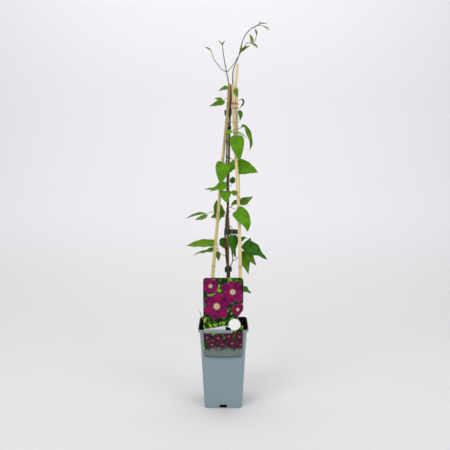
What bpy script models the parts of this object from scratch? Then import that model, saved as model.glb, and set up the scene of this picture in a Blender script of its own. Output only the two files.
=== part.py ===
"""A young clematis tied to four bamboo canes in a tall square pot, with a hang label on the rim.

Lengths are in millimetres here and become metres when a mesh is made. X is to the right, Y is
away from the front of the pot and Z is up. The origin is the middle of the pot's flat base.
"""

import math
import random

import bmesh
import bpy
from mathutils import Matrix, Vector

MM = 0.001
GAP = 0.3

# Pot
POT_HEIGHT = 180.0
COLLAR_WIDTH = 110.0
COLLAR_HEIGHT = 7.0
BODY_TOP_WIDTH = 102.5
BASE_WIDTH = 83.0
TOP_CORNER = 12.0
BASE_CORNER = 8.0
WALL = 1.2
NOTCH_WIDTH = 18.5
NOTCH_HEIGHT = 8.2
NOTCH_SLOPE = 2.0
NOTCH_DEPTH = 5.0
CORNER_STEPS = 4

# Soil
SOIL_TOP = 175.6
SOIL_BACK_RISE = 3.7
SOIL_MOUND = 2.0
HOLE_PLAY = 0.4

# Canes: width across at the foot and at the top, and the distance between their nodes
CANE_FOOT = 9.0
CANE_TOP = 5.8
CANE_NODE_PITCH = 118.0
CANE_NODE_RISE = 0.45
CANE_SIDES = 8

CANE_PATHS = {
    "cane_left": [(-33.5, -6, 6), (-34.6, -6, 90), (-32.0, -6, 176), (-23, -5.5, 294),
                  (-12.3, -5, 415), (-1, -4.2, 547), (7.6, -3.5, 630), (13.2, -2.5, 706)],
    "cane_right": [(23, -22, 6), (25.5, -23.5, 90), (27.5, -23, 180), (30.5, -22.4, 220),
                   (34.8, -21, 258), (37.5, -19, 294), (34.4, -14.4, 408),
                   (30.8, -10.5, 497), (27.4, -8.4, 547), (22, -4.6, 654),
                   (20.2, -2.2, 706)],
    "cane_tall": [(26, 24, 6), (28, 25.5, 90), (29.5, 25.5, 180), (33, 24.5, 232),
                  (38.4, 21, 294), (37.3, 18, 350), (33.3, 12, 496),
                  (29.5, 3.5, 634), (28.4, 1.8, 672), (27.6, 1.6, 706), (31, 1, 748)],
    "cane_middle": [(9, 4, 6), (9.3, 4, 176), (10, 3, 301), (10, 2, 446), (12, 1.5, 548),
                    (13.8, 3, 626), (15.5, 4.2, 680), (16.4, 4.6, 704)],
}
CANE_SCALE = {"cane_left": 1.0, "cane_right": 1.0, "cane_tall": 0.94, "cane_middle": 0.8}
CANE_COLOURS = {
    "cane_left": (0.52, 0.36, 0.16),
    "cane_right": (0.78, 0.62, 0.33),
    "cane_tall": (0.80, 0.66, 0.38),
    "cane_middle": (0.33, 0.24, 0.11),
}

# Woody stems: the main one winds round the middle cane, by an angle at each height
STEM_TOP = 704.0
STEM_MAIN_FOOT = 2.5
STEM_MAIN_TOP = 1.1
STEM_MAIN_STAND_OFF = 0.8
STEM_MAIN_TURNS = [(120, -75), (176, -75), (250, -60), (300, -95), (340, -130), (372, -175),
                   (400, -140), (450, -95), (500, -120), (560, -180), (610, -200), (650, -190),
                   (STEM_TOP, -178)]
STEM_SECOND_RADIUS = 1.1
STEM_SECOND_PATH = [(14.2, 9, 130), (14.2, 8, 176), (14.2, 6.7, 294), (16.3, 5, 309), (21, -4, 324),
                    (18, 3, 350),
                    (13, 9, 400), (11, 9.2, 450), (12.5, 8.7, 548), (14, 10, 626),
                    (18, 10.7, 680), (20.5, 8.6, STEM_TOP)]

# Label
LABEL_THICK = 0.6
LABEL_FRONT = -COLLAR_WIDTH / 2 - GAP - LABEL_THICK
LABEL_HALF = 43.0
LABEL_TOP = 295.0
LABEL_CORNER = 7.0
LABEL_FOOT = [(-42, 125), (-38.5, 121.2), (-20, 119.6), (0, 119.2), (19, 119.6), (37.5, 121.2),
              (41, 125)]
BADGE_CENTRE = (24.0, 193.0)
BADGE_RADIUS = 13.2
TONGUE_LEFT = -40.0
TONGUE_RIGHT = 5.0
TONGUE_TIP = 177.6

LABEL_SLOT = [(-40.4, 173.6), (17, 173.6), (18.6, 178), (15, 185), (8, 188.6), (-2, 188),
              (-20, 184.5), (-40.4, 180.8)]
FLAP_HINGE = 170.0
FLAP_LEAN = 0.06

# Ties: the height of each, how tall each tape is, and what they hold
WIRE_HEIGHT = 626.0
WIRE_RADIUS = 0.6
WIRE_MARGIN = 0.6
RING_HEIGHTS = {"ring_upper": 664.0, "ring_lower": 655.0}
RING_RADIUS = 0.9
TAPES = {"tape_top": (646, 15), "tape_mid": (613, 7), "tape_right": (387, 12), "tape_low": (303, 13)}
TAPE_THICK = 0.8
TAPE_MARGIN = 0.7
TAPE_TAIL = 11
BUNDLE = ["cane_left", "cane_right", "cane_tall", "cane_middle", "stem_main", "stem_second"]
TIED = ["cane_middle", "stem_main"]

BLADE_THICK = 0.7
PETIOLE_SIDES = 4

GREEN = (0.13, 0.30, 0.02)
BRIGHT = (0.20, 0.40, 0.02)
DARK = (0.03, 0.12, 0.02)
BROWN = (0.10, 0.055, 0.02)
PURPLE = (0.12, 0.06, 0.07)

# Outlines of a blade: half width at equal steps from the base to the tip, as a share of the widest
OVATE = (0.45, 0.88, 1.0, 0.93, 0.74, 0.5, 0.24, 0.0)
HEART = (0.62, 0.97, 1.0, 0.9, 0.72, 0.5, 0.25, 0.0)
LANCE = (0.12, 0.62, 0.92, 1.0, 0.84, 0.6, 0.3, 0.0)
ROUND = (0.4, 0.85, 1.0, 1.0, 0.9, 0.62, 0.0)
LOBED = (0.15, 0.75, 1.0, 0.5, 0.62, 0.3, 0.2, 0.0)
BUD = (0.3, 0.9, 1.0, 0.6, 0.0)

# Leaves. Each has its petioles, as paths with a radius, and its blades: the path of the rib,
# the width, the way the blade faces, and the outline. An optional last value tells how far the
# basal lobes reach back, as a share of the width. A petiole whose path starts with a stem's name
# and a height grows from there.
FRONT = (0, -1, 0.25)
UP_FRONT = (0.1, -0.8, 0.6)
SIDE = (0.75, -0.6, 0.1)

LEAVES = {
    "leaf_cap_left": (GREEN, [([("stem_main", 700), (7.8, 1, 700.5), (7.6, -3.5, 699),
                               (8.5, -8.2, 696.5)], 0.7)],
        [([(11, -8, 697), (1, -9, 695.5), (-11, -10, 689)], 12, UP_FRONT,
          (0.5, 0.95, 1.0, 0.8, 0.58, 0.4, 0.2, 0.0))]),
    "leaf_top_left": (GREEN, [([("stem_main", 677), (6, 2.5, 676), (3, -4, 672),
                               (0, -8, 668)], 0.7)],
        [([(4, -8, 667), (-8, -10.5, 665), (-31, -14, 657)], 13, FRONT,
          (0.3, 0.9, 1.0, 0.92, 0.7, 0.45, 0.22, 0.0)),
         ([(0, -8.4, 668), (-8, -9.5, 672.5), (-19, -11, 674)], 9, FRONT, LANCE)]),
    "leaf_top_right": (GREEN, [([("stem_second", 698), (26, 8, 697), (31.8, 4, 695),
                                (32, -2, 693), (27.5, -7, 691.5)], 0.7)],
        [([(25, -7, 695), (28, -6.5, 686), (31, -6, 676)], 10, FRONT, OVATE),
         ([(26.5, -7, 690), (28.5, -7, 694), (30.5, -7, 698)], 5, FRONT, LANCE)]),
    "leaf_curl": (DARK, [([("stem_second", 668), (25, 8.5, 670), (33.5, 4.5, 672), (36, -2, 673),
                          (39, -5, 673.5)], 0.9)],
        [([(37, -5.4, 673), (41.5, -4, 672.5), (43, -3, 666), (38, -2, 658), (34.5, -2, 654)],
          6.5, SIDE, LANCE)]),
    "leaf_hang_right": (DARK, [([("stem_second", 646), (24, 8.5, 646.5), (33.4, 5.6, 649),
                                (35.7, 0, 651), (35, -4.5, 649)], 0.7)],
        [([(34, -4.5, 650), (37.5, -6, 640), (35.5, -5, 627)], 9.5, FRONT, OVATE)]),
    "leaf_droop": (GREEN, [([("stem_main", 604), (9, -3, 604), (13, -9.5, 605), (20, -11.5, 607),
                            (28, -12.5, 610.5), (33, -12, 610), (39, -12, 613)], 0.8)],
        [([(37, -12, 612), (43, -13, 616.5), (50, -14, 610), (56, -15, 594), (59.5, -15, 579),
           (56, -14, 562)], 13.5, (0.5, -0.75, 0.5), LANCE)]),
    "leaf_large_hang": (BRIGHT, [([("stem_main", 597), (9.3, -4, 597.5), (13, -11.5, 600),
                                   (20, -14, 603), (28.5, -16.8, 594)], 0.9),
                                 ([(20, -14, 603), (30, -15, 601.5), (38, -15, 599),
                                   (51, -15, 591)], 0.8)],
        [([(28.5, -16.5, 595), (29.5, -19.5, 580), (32, -20.5, 562), (36, -19, 541)],
          31, FRONT, HEART, 0.1),
         ([(24, -14.4, 602.5), (37, -15.2, 600), (50, -15, 591.5)], 4, UP_FRONT, LANCE),
         ([(20.5, -14.1, 603), (12, -15, 603), (3.5, -14.5, 597)], 9, UP_FRONT, LANCE)]),
    "leaf_broad_left": (BRIGHT, [([("stem_main", 549), (7, -5, 546), (1.5, -10.3, 536)], 0.9)],
        [([(2, -10, 537), (-2, -13.5, 523), (-4, -15, 508), (-7, -17.5, 491)],
          32, (0.1, -1, 0.25), HEART, 0.12)]),
    "leaf_broad_right": (BRIGHT, [([("stem_second", 549), (19, 5, 546), (25, 1.5, 540),
                                   (31, 0.5, 529)], 0.9)],
        [([(30, 0.4, 529), (42, -1, 528), (58, -4, 524), (76, -8, 517)],
          33, (0.05, -1, 0.18), HEART, 0.16),
         ([(31, 0.4, 533), (26, -0.6, 536), (18.5, -3.2, 529), (12, -6.4, 515)],
          18, (-0.2, -1, 0.1), (0.5, 0.9, 1.0, 1.0, 0.9, 0.66, 0.35, 0.0))]),
    "leaf_forked_left": (BRIGHT, [([("stem_main", 499), (4.5, -8, 497), (2.5, -11, 494),
                                   (-1, -13.5, 489)], 0.8)],
        [([(7, -12.5, 494), (-6, -15, 487), (-20, -16, 483), (-42, -17, 481)],
          19, FRONT, (0.4, 0.95, 1.0, 0.6, 0.28, 0.24, 0.16, 0.0)),
         ([(-10, -15.5, 484), (-20, -17, 479.5), (-31, -18, 477)], 5, UP_FRONT, LANCE)]),
    "leaf_small_dark": (DARK, [([("stem_second", 486), (16.5, 5, 487), (18.6, 2, 491),
                                 (18.6, 1, 495)], 0.6)],
        [([(18.5, 1, 493), (20.5, 0, 501), (22, 1, 508)], 12, FRONT, ROUND)]),
    "leaf_centre": (BRIGHT, [([("stem_main", 486), (7, -9.5, 483), (4.5, -11, 476)], 0.8)],
        [([(5, -11, 477.5), (5.5, -12.5, 464), (8.5, -12, 450)], 23, FRONT, HEART, 0.14)]),
    "leaf_twine_right": (GREEN,
        [([("stem_second", 440), (17, 6, 442), (24, 1, 448), (34, -5.7, 457)], 0.8),
         ([(33, -5.2, 456.5), (40.5, -8.5, 456.5), (39.5, -17, 459), (32, -18.8, 465),
           (27, -17.5, 470)], 0.8)],
        [([(35, -6.2, 456.5), (44, -8, 454), (54, -12, 459), (65, -14, 465)], 18, FRONT, OVATE),
         ([(34, -6, 456.5), (26, -6.7, 452), (16, -8.5, 446)], 10, FRONT, LANCE),
         ([(28, -17.7, 469), (22, -18, 474), (13.5, -17, 474)], 12, FRONT, OVATE)]),
    "leaf_half_moon": (BRIGHT, [([("stem_main", 443), (18, -13, 441), (25, -18.5, 438),
                                  (31, -21, 434)], 0.9)],
        [([(28, -20.5, 435), (39, -24, 425), (49.5, -24, 409), (53, -22, 388)],
          32, (0.1, -1, 0.3), HEART, 0.15)]),
    "leaf_behind_left": (GREEN, [([("stem_second", 424), (4, 8, 421), (-4, 6, 418)], 0.8),
                                ([(-16, 5, 425), (-22, 2, 430), (-29, -2, 430),
                                  (-36, -4, 425)], 0.8)],
        [([(-2.5, 6, 418), (-8, 5, 428), (-12, 4.5, 442), (-15, 6, 457)], 24, (0.1, -1, -0.3),
          (0.45, 0.95, 1.0, 0.93, 0.85, 0.7, 0.4, 0.0)),
         ([(-35, -4, 426), (-48, -7, 428), (-66, -10, 424), (-84, -12, 416)],
          7, UP_FRONT, LANCE),
         ([(-15.5, 4.8, 425), (-20, 3.6, 421), (-28, 2, 417)], 9, FRONT, OVATE),
         ([(-34, -3.6, 424.5), (-45, -6, 419), (-63, -9, 414)], 11, UP_FRONT, LANCE),
         ([(-9, 5, 423), (-12, 4.5, 414), (-9, 4, 406)], 13, (0.1, -1, 0.2), OVATE)]),
    "leaf_long_left": (GREEN,
        [([("stem_main", 333), (-4, -3, 337), (-11, -0.5, 342), (-11.5, 2, 352),
           (-14, 3.2, 361)], 0.8)],
        [([(-12.5, 3.1, 359.5), (-30, 4.5, 360.5), (-52, 0, 360), (-83, -6, 356)],
          19, UP_FRONT, (0.35, 0.88, 1.0, 1.0, 0.9, 0.68, 0.35, 0.0)),
         ([(-11.5, 1.4, 348.5), (-26, 3, 346), (-42, 0, 342.5), (-56, -4, 340), (-67, -6, 333)],
          12, UP_FRONT, LOBED),
         ([(-12, -0.3, 345), (-11.5, 0, 334), (-10, -1, 321)], 11, FRONT, LANCE)]),
    "leaf_round_left": (DARK, [([("stem_second", 352), (15.5, 7.5, 353), (10, 9.4, 358),
                                 (5, 10, 360)], 0.7)],
        [([(8, 10, 358.5), (0, 9, 360), (-9, 8, 357)], 24, FRONT, ROUND)]),
    "leaf_shade_right": (DARK, [([("stem_second", 398), (18.5, 3, 397), (19.5, -3, 392),
                                   (18, -8.5, 379)], 0.8),
                                ([(18.4, -7, 383), (21, -6, 382.5), (24, -5, 379)], 0.7)],
        [([(17.8, -8.5, 382), (19.5, -10, 364), (23, -10, 347), (27, -10, 329)],
          17, FRONT, (0.3, 0.9, 1.0, 0.95, 0.7, 0.45, 0.3, 0.0)),
         ([(24, -5, 381), (27, -4, 366), (28.5, -4, 350)], 13, FRONT, OVATE)]),
    "leaf_maple_right": (DARK,
        [([("stem_second", 323), (30, -6, 328), (38, -7, 341), (41, -8, 356)], 0.9),
         ([(38, -7, 341), (40, -9, 358), (39, -9.5, 366)], 0.7),
         ([(38, -7, 341), (44, -8.5, 343), (51, -10, 341.5)], 0.7)],
        [([(40.6, -7.6, 355), (54, -11, 354), (74, -15, 344), (97, -19, 326.5)],
          33, UP_FRONT, (0.42, 0.84, 1.0, 0.98, 0.6, 0.34, 0.2, 0.0)),
         ([(48.5, -10.5, 355), (55, -12, 364), (60, -13, 376)], 15, UP_FRONT, OVATE),
         ([(38, -9.4, 366), (44, -11, 374), (53, -12, 373.5)], 8.5, UP_FRONT, LANCE),
         ([(40.5, -7.5, 345), (46, -10, 330), (51, -12, 312), (55.5, -13, 293)],
          21, FRONT, (0.45, 0.75, 0.9, 1.0, 0.85, 0.5, 0.25, 0.0)),
         ([(49, -9.5, 343), (60, -12, 330), (73, -14, 312)], 16, FRONT, OVATE)]),
    "leaf_low_right": (DARK, [([("stem_main", 233), (17, -4.6, 236), (23, -7, 246),
                                (33, -8, 257)], 0.9)],
        [([(31.5, -7.7, 256), (44, -9, 261), (62, -13, 251)], 17, UP_FRONT,
          (0.4, 0.9, 1.0, 0.75, 0.85, 0.45, 0.3, 0.0))]),
}

# The soft shoots above the canes, written as the leaves are
SHOOTS = {
    "shoot_left": (GREEN,
        [([("stem_main", STEM_TOP), (9.6, 4.6, 719), (7, 4, 732), (1, 3, 764), (-2, 2, 788)], 1.25),
         ([(7, 4, 732), (-3, 2, 737), (-11, 0, 746), (-20, -2, 758), (-26, -4, 776)], 0.88),
         ([(7, 4, 731), (15, 5, 739), (24, 5, 751), (30.5, 5.4, 763)], 0.88)],
        [([(-1.8, 2, 786.5), (-6, 0, 793), (-12, -1, 796)], 3, UP_FRONT, BUD),
         ([(-2.2, 2, 786.5), (0.5, 3, 793), (5, 4, 797.5)], 3, UP_FRONT, BUD),
         ([(-25.5, -4, 774.5), (-32, -6, 779), (-41, -8, 781)], 4.6, UP_FRONT, LANCE)]),
    "shoot_right": (PURPLE,
        [([("stem_second", STEM_TOP), (20.8, 8, 731), (24, 6.4, 744), (29.5, 4, 756), (34, 2, 768),
           (37, 1, 781), (41, 0, 795), (48, -2, 809), (57, -4, 818), (65, -5, 823),
           (78, -7, 829.5)], 1.25),
         ([(65, -5, 822.5), (75, -8, 826), (86, -10, 823)], 0.82),
         ([(34, 2, 768), (38.5, -1, 773), (45, -4, 783), (52, -5, 791), (61, -6, 788.5),
           (67, -7, 795), (71, -8, 807)], 0.88)],
        [([(76.5, -7, 829), (84, -8, 830), (93, -9, 829)], 4, UP_FRONT, LANCE),
         ([(76.5, -7, 829), (77.5, -7, 832), (77.5, -7, 835)], 2.6, FRONT, BUD),
         ([(84.5, -10, 823.5), (91, -11, 820), (98, -12, 815)], 4.5, UP_FRONT, LANCE),
         ([(71, -8, 805.5), (69.5, -8, 813), (66, -7, 820)], 4.5, FRONT, LANCE),
         ([(61, -6, 788), (60, -7, 799), (55, -8, 809)], 7, FRONT, LANCE),
         ([(61, -6, 788.5), (67, -8, 785.5), (74, -9, 778)], 7, UP_FRONT, LANCE),
         ([(36, 0.8, 771), (38, -1, 780), (40, -1, 788)], 5, FRONT, LANCE),
         ([(38, -1, 773), (46, -3, 780), (58, -5, 785)], 8, UP_FRONT, LANCE)]),
}

STALK_PATH = [(-45, 26, 166), (-47, 27, 178), (-51, 28, 190), (-55, 29, 201)]
STALK_RADIUS = 0.85


def clear_scene():
    """Remove whatever the file opened with."""
    for old in list(bpy.data.objects):
        bpy.data.objects.remove(old, do_unlink=True)


def make_material(name, colour, roughness, metallic=0.0):
    material = bpy.data.materials.new(name)
    material.use_nodes = True
    shader = material.node_tree.nodes["Principled BSDF"]
    shader.inputs["Base Color"].default_value = (*colour, 1.0)
    shader.inputs["Roughness"].default_value = roughness
    shader.inputs["Metallic"].default_value = metallic
    material.diffuse_color = (*colour, 1.0)
    return material


def add_solid(name, solid, material=None, smooth=False):
    """Make an object from (points in millimetres, faces), with its faces turned outward."""
    points, faces = solid
    mesh = bpy.data.meshes.new(name)
    mesh.from_pydata([Vector(p) * MM for p in points], [], faces)
    work = bmesh.new()
    work.from_mesh(mesh)
    bmesh.ops.recalc_face_normals(work, faces=work.faces)
    work.to_mesh(mesh)
    work.free()
    if smooth:
        mesh.shade_smooth()
        mesh.set_sharp_from_angle(angle=math.radians(40))
    thing = bpy.data.objects.new(name, mesh)
    bpy.context.scene.collection.objects.link(thing)
    if material:
        mesh.materials.append(material)
    return thing


def bodies_and_gaps(mesh):
    """Count the separate bodies of a mesh, and the edges that don't join two faces."""
    work = bmesh.new()
    work.from_mesh(mesh)
    gaps = sum(1 for edge in work.edges if len(edge.link_faces) != 2)
    unseen = set(work.verts)
    bodies = 0
    while unseen:
        bodies += 1
        front = [unseen.pop()]
        while front:
            vert = front.pop()
            for edge in vert.link_edges:
                other = edge.other_vert(vert)
                if other in unseen:
                    unseen.remove(other)
                    front.append(other)
    work.free()
    return bodies, gaps


def boolean(thing, others, operation):
    """Join others to a solid, or cut them from it, and remove them."""
    group = bpy.data.collections.new(thing.name + "_operands")
    bpy.context.scene.collection.children.link(group)
    for other in others:
        bpy.context.scene.collection.objects.unlink(other)
        group.objects.link(other)
    modifier = thing.modifiers.new("join", "BOOLEAN")
    modifier.operation = operation
    modifier.operand_type = "COLLECTION"
    modifier.collection = group
    for solver in ("EXACT", "MANIFOLD"):
        modifier.solver = solver
        view = bpy.context.evaluated_depsgraph_get()
        mesh = bpy.data.meshes.new_from_object(thing.evaluated_get(view))
        if bodies_and_gaps(mesh) == (1, 0):
            break
    thing.modifiers.remove(modifier)
    thing.data = mesh
    for other in others:
        bpy.data.objects.remove(other, do_unlink=True)
    bpy.data.collections.remove(group)
    return thing


def smooth_path(points, count):
    """Read a smooth curve through the points at count places, evenly spaced along it."""
    knots = [Vector(p) for p in points]
    if len(knots) < 3:
        return [knots[0].lerp(knots[-1], i / (count - 1)) for i in range(count)]
    ends = [2 * knots[0] - knots[1]] + knots + [2 * knots[-1] - knots[-2]]
    fine = []
    per_span = 12
    for before, start, end, after in zip(ends, ends[1:], ends[2:], ends[3:]):
        for step in range(per_span):
            t = step / per_span
            fine.append(0.5 * (2 * start + (end - before) * t
                               + (2 * before - 5 * start + 4 * end - after) * t * t
                               + (3 * start - before - 3 * end + after) * t ** 3))
    fine.append(knots[-1])
    lengths = [0.0]
    for a, b in zip(fine, fine[1:]):
        lengths.append(lengths[-1] + (b - a).length)
    result = []
    place = 0
    for i in range(count):
        target = lengths[-1] * i / (count - 1)
        while place < len(fine) - 2 and lengths[place + 1] < target:
            place += 1
        span = lengths[place + 1] - lengths[place]
        result.append(fine[place].lerp(fine[place + 1], (target - lengths[place]) / span))
    return result


def tangents(path):
    result = []
    for i in range(len(path)):
        ahead = path[min(i + 1, len(path) - 1)]
        behind = path[max(i - 1, 0)]
        result.append((ahead - behind).normalized())
    return result


def tube(path, radii, sides, closed=False):
    """Sweep a polygon along a path; the ends are capped unless the path is closed."""
    directions = tangents(path)
    if closed:
        directions = [(path[(i + 1) % len(path)] - path[i - 1]).normalized()
                      for i in range(len(path))]
    across = directions[0].orthogonal().normalized()
    if closed:
        across = Vector((0, 0, 1))
    points, faces = [], []
    for centre, direction, radius in zip(path, directions, radii):
        across = (across - direction * across.dot(direction)).normalized()
        third = direction.cross(across)
        for side in range(sides):
            angle = 2 * math.pi * side / sides
            points.append(centre + radius * (math.cos(angle) * across + math.sin(angle) * third))
    rings = len(path)
    for ring in range(rings if closed else rings - 1):
        here, there = ring * sides, ((ring + 1) % rings) * sides
        for side in range(sides):
            after = (side + 1) % sides
            faces.append((here + side, here + after, there + after))
            faces.append((here + side, there + after, there + side))
    if not closed:
        faces.append(tuple(range(sides)))
        faces.append(tuple(range((rings - 1) * sides, rings * sides)))
    return points, faces


def blade(rib, width, facing, outline, lobes=0.0, fold=0.16, thick=BLADE_THICK):
    """A leaf blade: rows of points across the rib, folded a little up, split alike on both faces."""
    rows = len(outline)
    path = smooth_path(rib, rows)
    directions = tangents(path)
    wide = width > 12
    places = (-1.0, -0.5, 0.0, 0.5, 1.0) if wide else (-1.0, 0.0, 1.0)
    upper, lower = [], []
    for row, (centre, along, share) in enumerate(zip(path, directions, outline)):
        normal = Vector(facing)
        normal = (normal - along * normal.dot(along)).normalized()
        across = normal.cross(along)
        reach = share * width / 2
        back = lobes * width * (1 - row / (rows - 1)) ** 2
        for place in places if row < rows - 1 else (0.0,):
            spot = centre + across * (reach * place) - along * (back * place * place)
            spot = spot + normal * (fold * reach * abs(place) ** 1.4)
            upper.append(spot + normal * (thick / 2))
            lower.append(spot - normal * (thick / 2))
    across_count = len(places)
    under = len(upper)
    tip = under - 1
    faces = []
    for row in range(rows - 2):
        for column in range(across_count - 1):
            a = row * across_count + column
            b, c, d = a + 1, a + across_count + 1, a + across_count
            pairs = ((a, b, c), (a, c, d)) if column < across_count // 2 else ((a, b, d), (b, c, d))
            for one in pairs:
                faces.append(one)
                faces.append(tuple(under + i for i in reversed(one)))
        for column in (0, across_count - 1):
            a = row * across_count + column
            b = a + across_count
            faces.extend([(a, b, under + b), (a, under + b, under + a)])
    last = (rows - 2) * across_count
    for column in range(across_count - 1):
        faces.append((last + column, last + column + 1, tip))
        faces.append((under + last + column + 1, under + last + column, under + tip))
        faces.extend([(column, column + 1, under + column + 1),
                      (column, under + column + 1, under + column)])
    for a in (last, last + across_count - 1):
        faces.extend([(a, tip, under + tip), (a, under + tip, under + a)])
    return upper + lower, faces


def loft(rings):
    """Join rings of equal length into one closed solid, with both end rings capped."""
    size = len(rings[0])
    points = [p for ring in rings for p in ring]
    faces = [tuple(range(size)), tuple(range(len(points) - size, len(points)))]
    for ring in range(len(rings) - 1):
        for i in range(size):
            j = (i + 1) % size
            low, high = ring * size, (ring + 1) * size
            faces.append((low + i, low + j, high + j, high + i))
    return points, faces


def rounded_square(width, corner, height):
    """A level square outline with round corners."""
    half = width / 2 - corner
    ring = []
    for quarter, (sx, sy) in enumerate(((1, 1), (-1, 1), (-1, -1), (1, -1))):
        for step in range(CORNER_STEPS + 1):
            angle = math.radians(90 * (quarter + step / CORNER_STEPS))
            ring.append((sx * half + corner * math.cos(angle),
                         sy * half + corner * math.sin(angle), height))
    return ring


def body_width(height):
    """Outside width of the pot's tapered body at a height."""
    share = height / (POT_HEIGHT - COLLAR_HEIGHT)
    return BASE_WIDTH + (BODY_TOP_WIDTH - BASE_WIDTH) * share


def body_corner(height):
    return BASE_CORNER + (TOP_CORNER - BASE_CORNER) * height / POT_HEIGHT


def make_pot():
    """The thin shell: up the outside, over the collar's rim and down the inside."""
    step = POT_HEIGHT - COLLAR_HEIGHT
    inner = 2 * WALL
    rings = [
        rounded_square(BASE_WIDTH - 1, BASE_CORNER, 0),
        rounded_square(BASE_WIDTH, BASE_CORNER, 1),
        rounded_square(body_width(step), TOP_CORNER, step),
        rounded_square(COLLAR_WIDTH - 1.6, TOP_CORNER, step),
        rounded_square(COLLAR_WIDTH, TOP_CORNER, POT_HEIGHT - 0.6),
        rounded_square(COLLAR_WIDTH - 0.8, TOP_CORNER, POT_HEIGHT),
        rounded_square(COLLAR_WIDTH - inner, TOP_CORNER - WALL, POT_HEIGHT),
        rounded_square(COLLAR_WIDTH - inner - 1.6, TOP_CORNER - WALL, step + WALL),
        rounded_square(body_width(step) - inner, TOP_CORNER - WALL, step + WALL),
        rounded_square(body_width(WALL) - inner, BASE_CORNER - WALL, WALL),
    ]
    pot = add_solid("pot", loft(rings), make_material("pot_plastic", (0.24, 0.32, 0.36), 0.5))
    reach = BASE_WIDTH / 2 + 4
    inward = BASE_WIDTH / 2 - NOTCH_DEPTH
    half = NOTCH_WIDTH / 2
    outline = [(-half, -1), (half, -1), (half - NOTCH_SLOPE, NOTCH_HEIGHT),
               (NOTCH_SLOPE - half, NOTCH_HEIGHT)]
    cutters = []
    for turn in range(4):
        cutter = add_solid("notch_cutter", plate(outline, -reach, -inward))
        cutter.data.transform(Matrix.Rotation(math.radians(90 * turn), 4, "Z"))
        cutters.append(cutter)
    return boolean(pot, cutters, "DIFFERENCE")


def cane_radius(name, share):
    return CANE_SCALE[name] * (CANE_FOOT + (CANE_TOP - CANE_FOOT) * share) / 2


def make_cane(name, material):
    """A tapering cane with a raised ring at each of its nodes."""
    rough = smooth_path(CANE_PATHS[name], 60)
    length = sum((b - a).length for a, b in zip(rough, rough[1:]))
    stations = [(0.0, 0.0)]
    mark = CANE_NODE_PITCH * 0.6
    while mark < length - 12:
        stations += [((mark + offset) / length, rise)
                     for offset, rise in ((-2.5, 0.0), (0.0, CANE_NODE_RISE), (2.5, 0.0))]
        stations.append(((mark + CANE_NODE_PITCH / 2) / length, 0.0))
        mark += CANE_NODE_PITCH
    stations = [s for s in stations if s[0] < 0.985] + [(1.0, 0.0)]
    fine = smooth_path(CANE_PATHS[name], 1001)
    path = [fine[round(1000 * share)] for share, _ in stations]
    radii = [cane_radius(name, share) + rise for share, rise in stations]
    return add_solid(name, tube(path, radii, CANE_SIDES), material, smooth=True)


def hole_cutter(path, radius):
    """A slightly wider copy of what stands in the soil, from its foot to above the top."""
    fine = [p for p in smooth_path(path, 121) if p.z < SOIL_TOP + 40]
    line = fine[::8] + [fine[-1]]
    foot = line[0] - (line[1] - line[0]).normalized() * HOLE_PLAY
    line = [foot] + line[1:]
    radii = [radius / math.cos(math.pi / CANE_SIDES) + HOLE_PLAY] * len(line)
    return add_solid("hole_cutter", tube(line, radii, CANE_SIDES))


def soil_level(y):
    """The peat lies low behind the label's tongue and rises to just under the rim elsewhere."""
    return SOIL_TOP + SOIL_BACK_RISE * min(1.0, max(0.0, (y + 38) / 22))


def make_soil(standing):
    """The peat, with a low uneven mound and a plain hole for each thing that stands in it."""
    draw = random.Random(5)
    step = POT_HEIGHT - COLLAR_HEIGHT
    ledge = step + WALL + GAP
    play = 2 * (WALL + GAP)
    top_width = COLLAR_WIDTH - play - 2.0
    foot = WALL + GAP
    rings = [
        rounded_square(body_width(foot) - play, BASE_CORNER - WALL, foot),
        rounded_square(body_width(step) - play, TOP_CORNER - WALL, step),
        rounded_square(body_width(step) - play, TOP_CORNER - WALL, ledge),
        rounded_square(top_width, TOP_CORNER - WALL, ledge),
    ]
    for share in (1.0, 0.84, 0.66, 0.46, 0.24):
        ring = rounded_square(top_width * share, (TOP_CORNER - WALL) * share, SOIL_TOP)
        rings.append([(x, y, soil_level(y) + SOIL_MOUND * draw.uniform(0.1, 1.0) * (share < 1))
                      for x, y, _ in ring])
    centre = rings.pop()
    rings.append([(x, y, soil_level(0) + SOIL_MOUND) for x, y, _ in centre])
    points, faces = loft(rings)
    soil = add_solid("soil", (points, faces), make_material("peat", (0.012, 0.009, 0.007), 0.95))
    return boolean(soil, [hole_cutter(path, radius) for path, radius in standing], "DIFFERENCE")


def at_height(path, height):
    """Where a fine path passes a height."""
    for a, b in zip(path, path[1:]):
        if a.z <= height <= b.z:
            return a.lerp(b, (height - a.z) / max(b.z - a.z, 1e-6))
    return path[-1] if height > path[-1].z else path[0]


def stem_main_path():
    """The route of the main stem: round the middle cane, with its angle eased between heights."""
    cane = smooth_path(CANE_PATHS["cane_middle"], 400)
    low, high = STEM_MAIN_TURNS[0][0], STEM_MAIN_TURNS[-1][0]
    count = 46
    route = []
    for i in range(count):
        height = low + (high - low) * i / (count - 1)
        for (h0, a0), (h1, a1) in zip(STEM_MAIN_TURNS, STEM_MAIN_TURNS[1:]):
            if h0 <= height <= h1:
                t = (height - h0) / (h1 - h0)
                angle = math.radians(a0 + (a1 - a0) * t * t * (3 - 2 * t))
        middle = at_height(cane, height)
        off = (cane_radius("cane_middle", height / cane[-1].z) + stem_main_radius(height)
               + STEM_MAIN_STAND_OFF)
        route.append(middle + Vector((off * math.cos(angle), off * math.sin(angle), 0)))
    return route


def stem_main_radius(height):
    share = max(0.0, (height - STEM_MAIN_TURNS[0][0]) / 580)
    return STEM_MAIN_FOOT + (STEM_MAIN_TOP - STEM_MAIN_FOOT) * share


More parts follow.
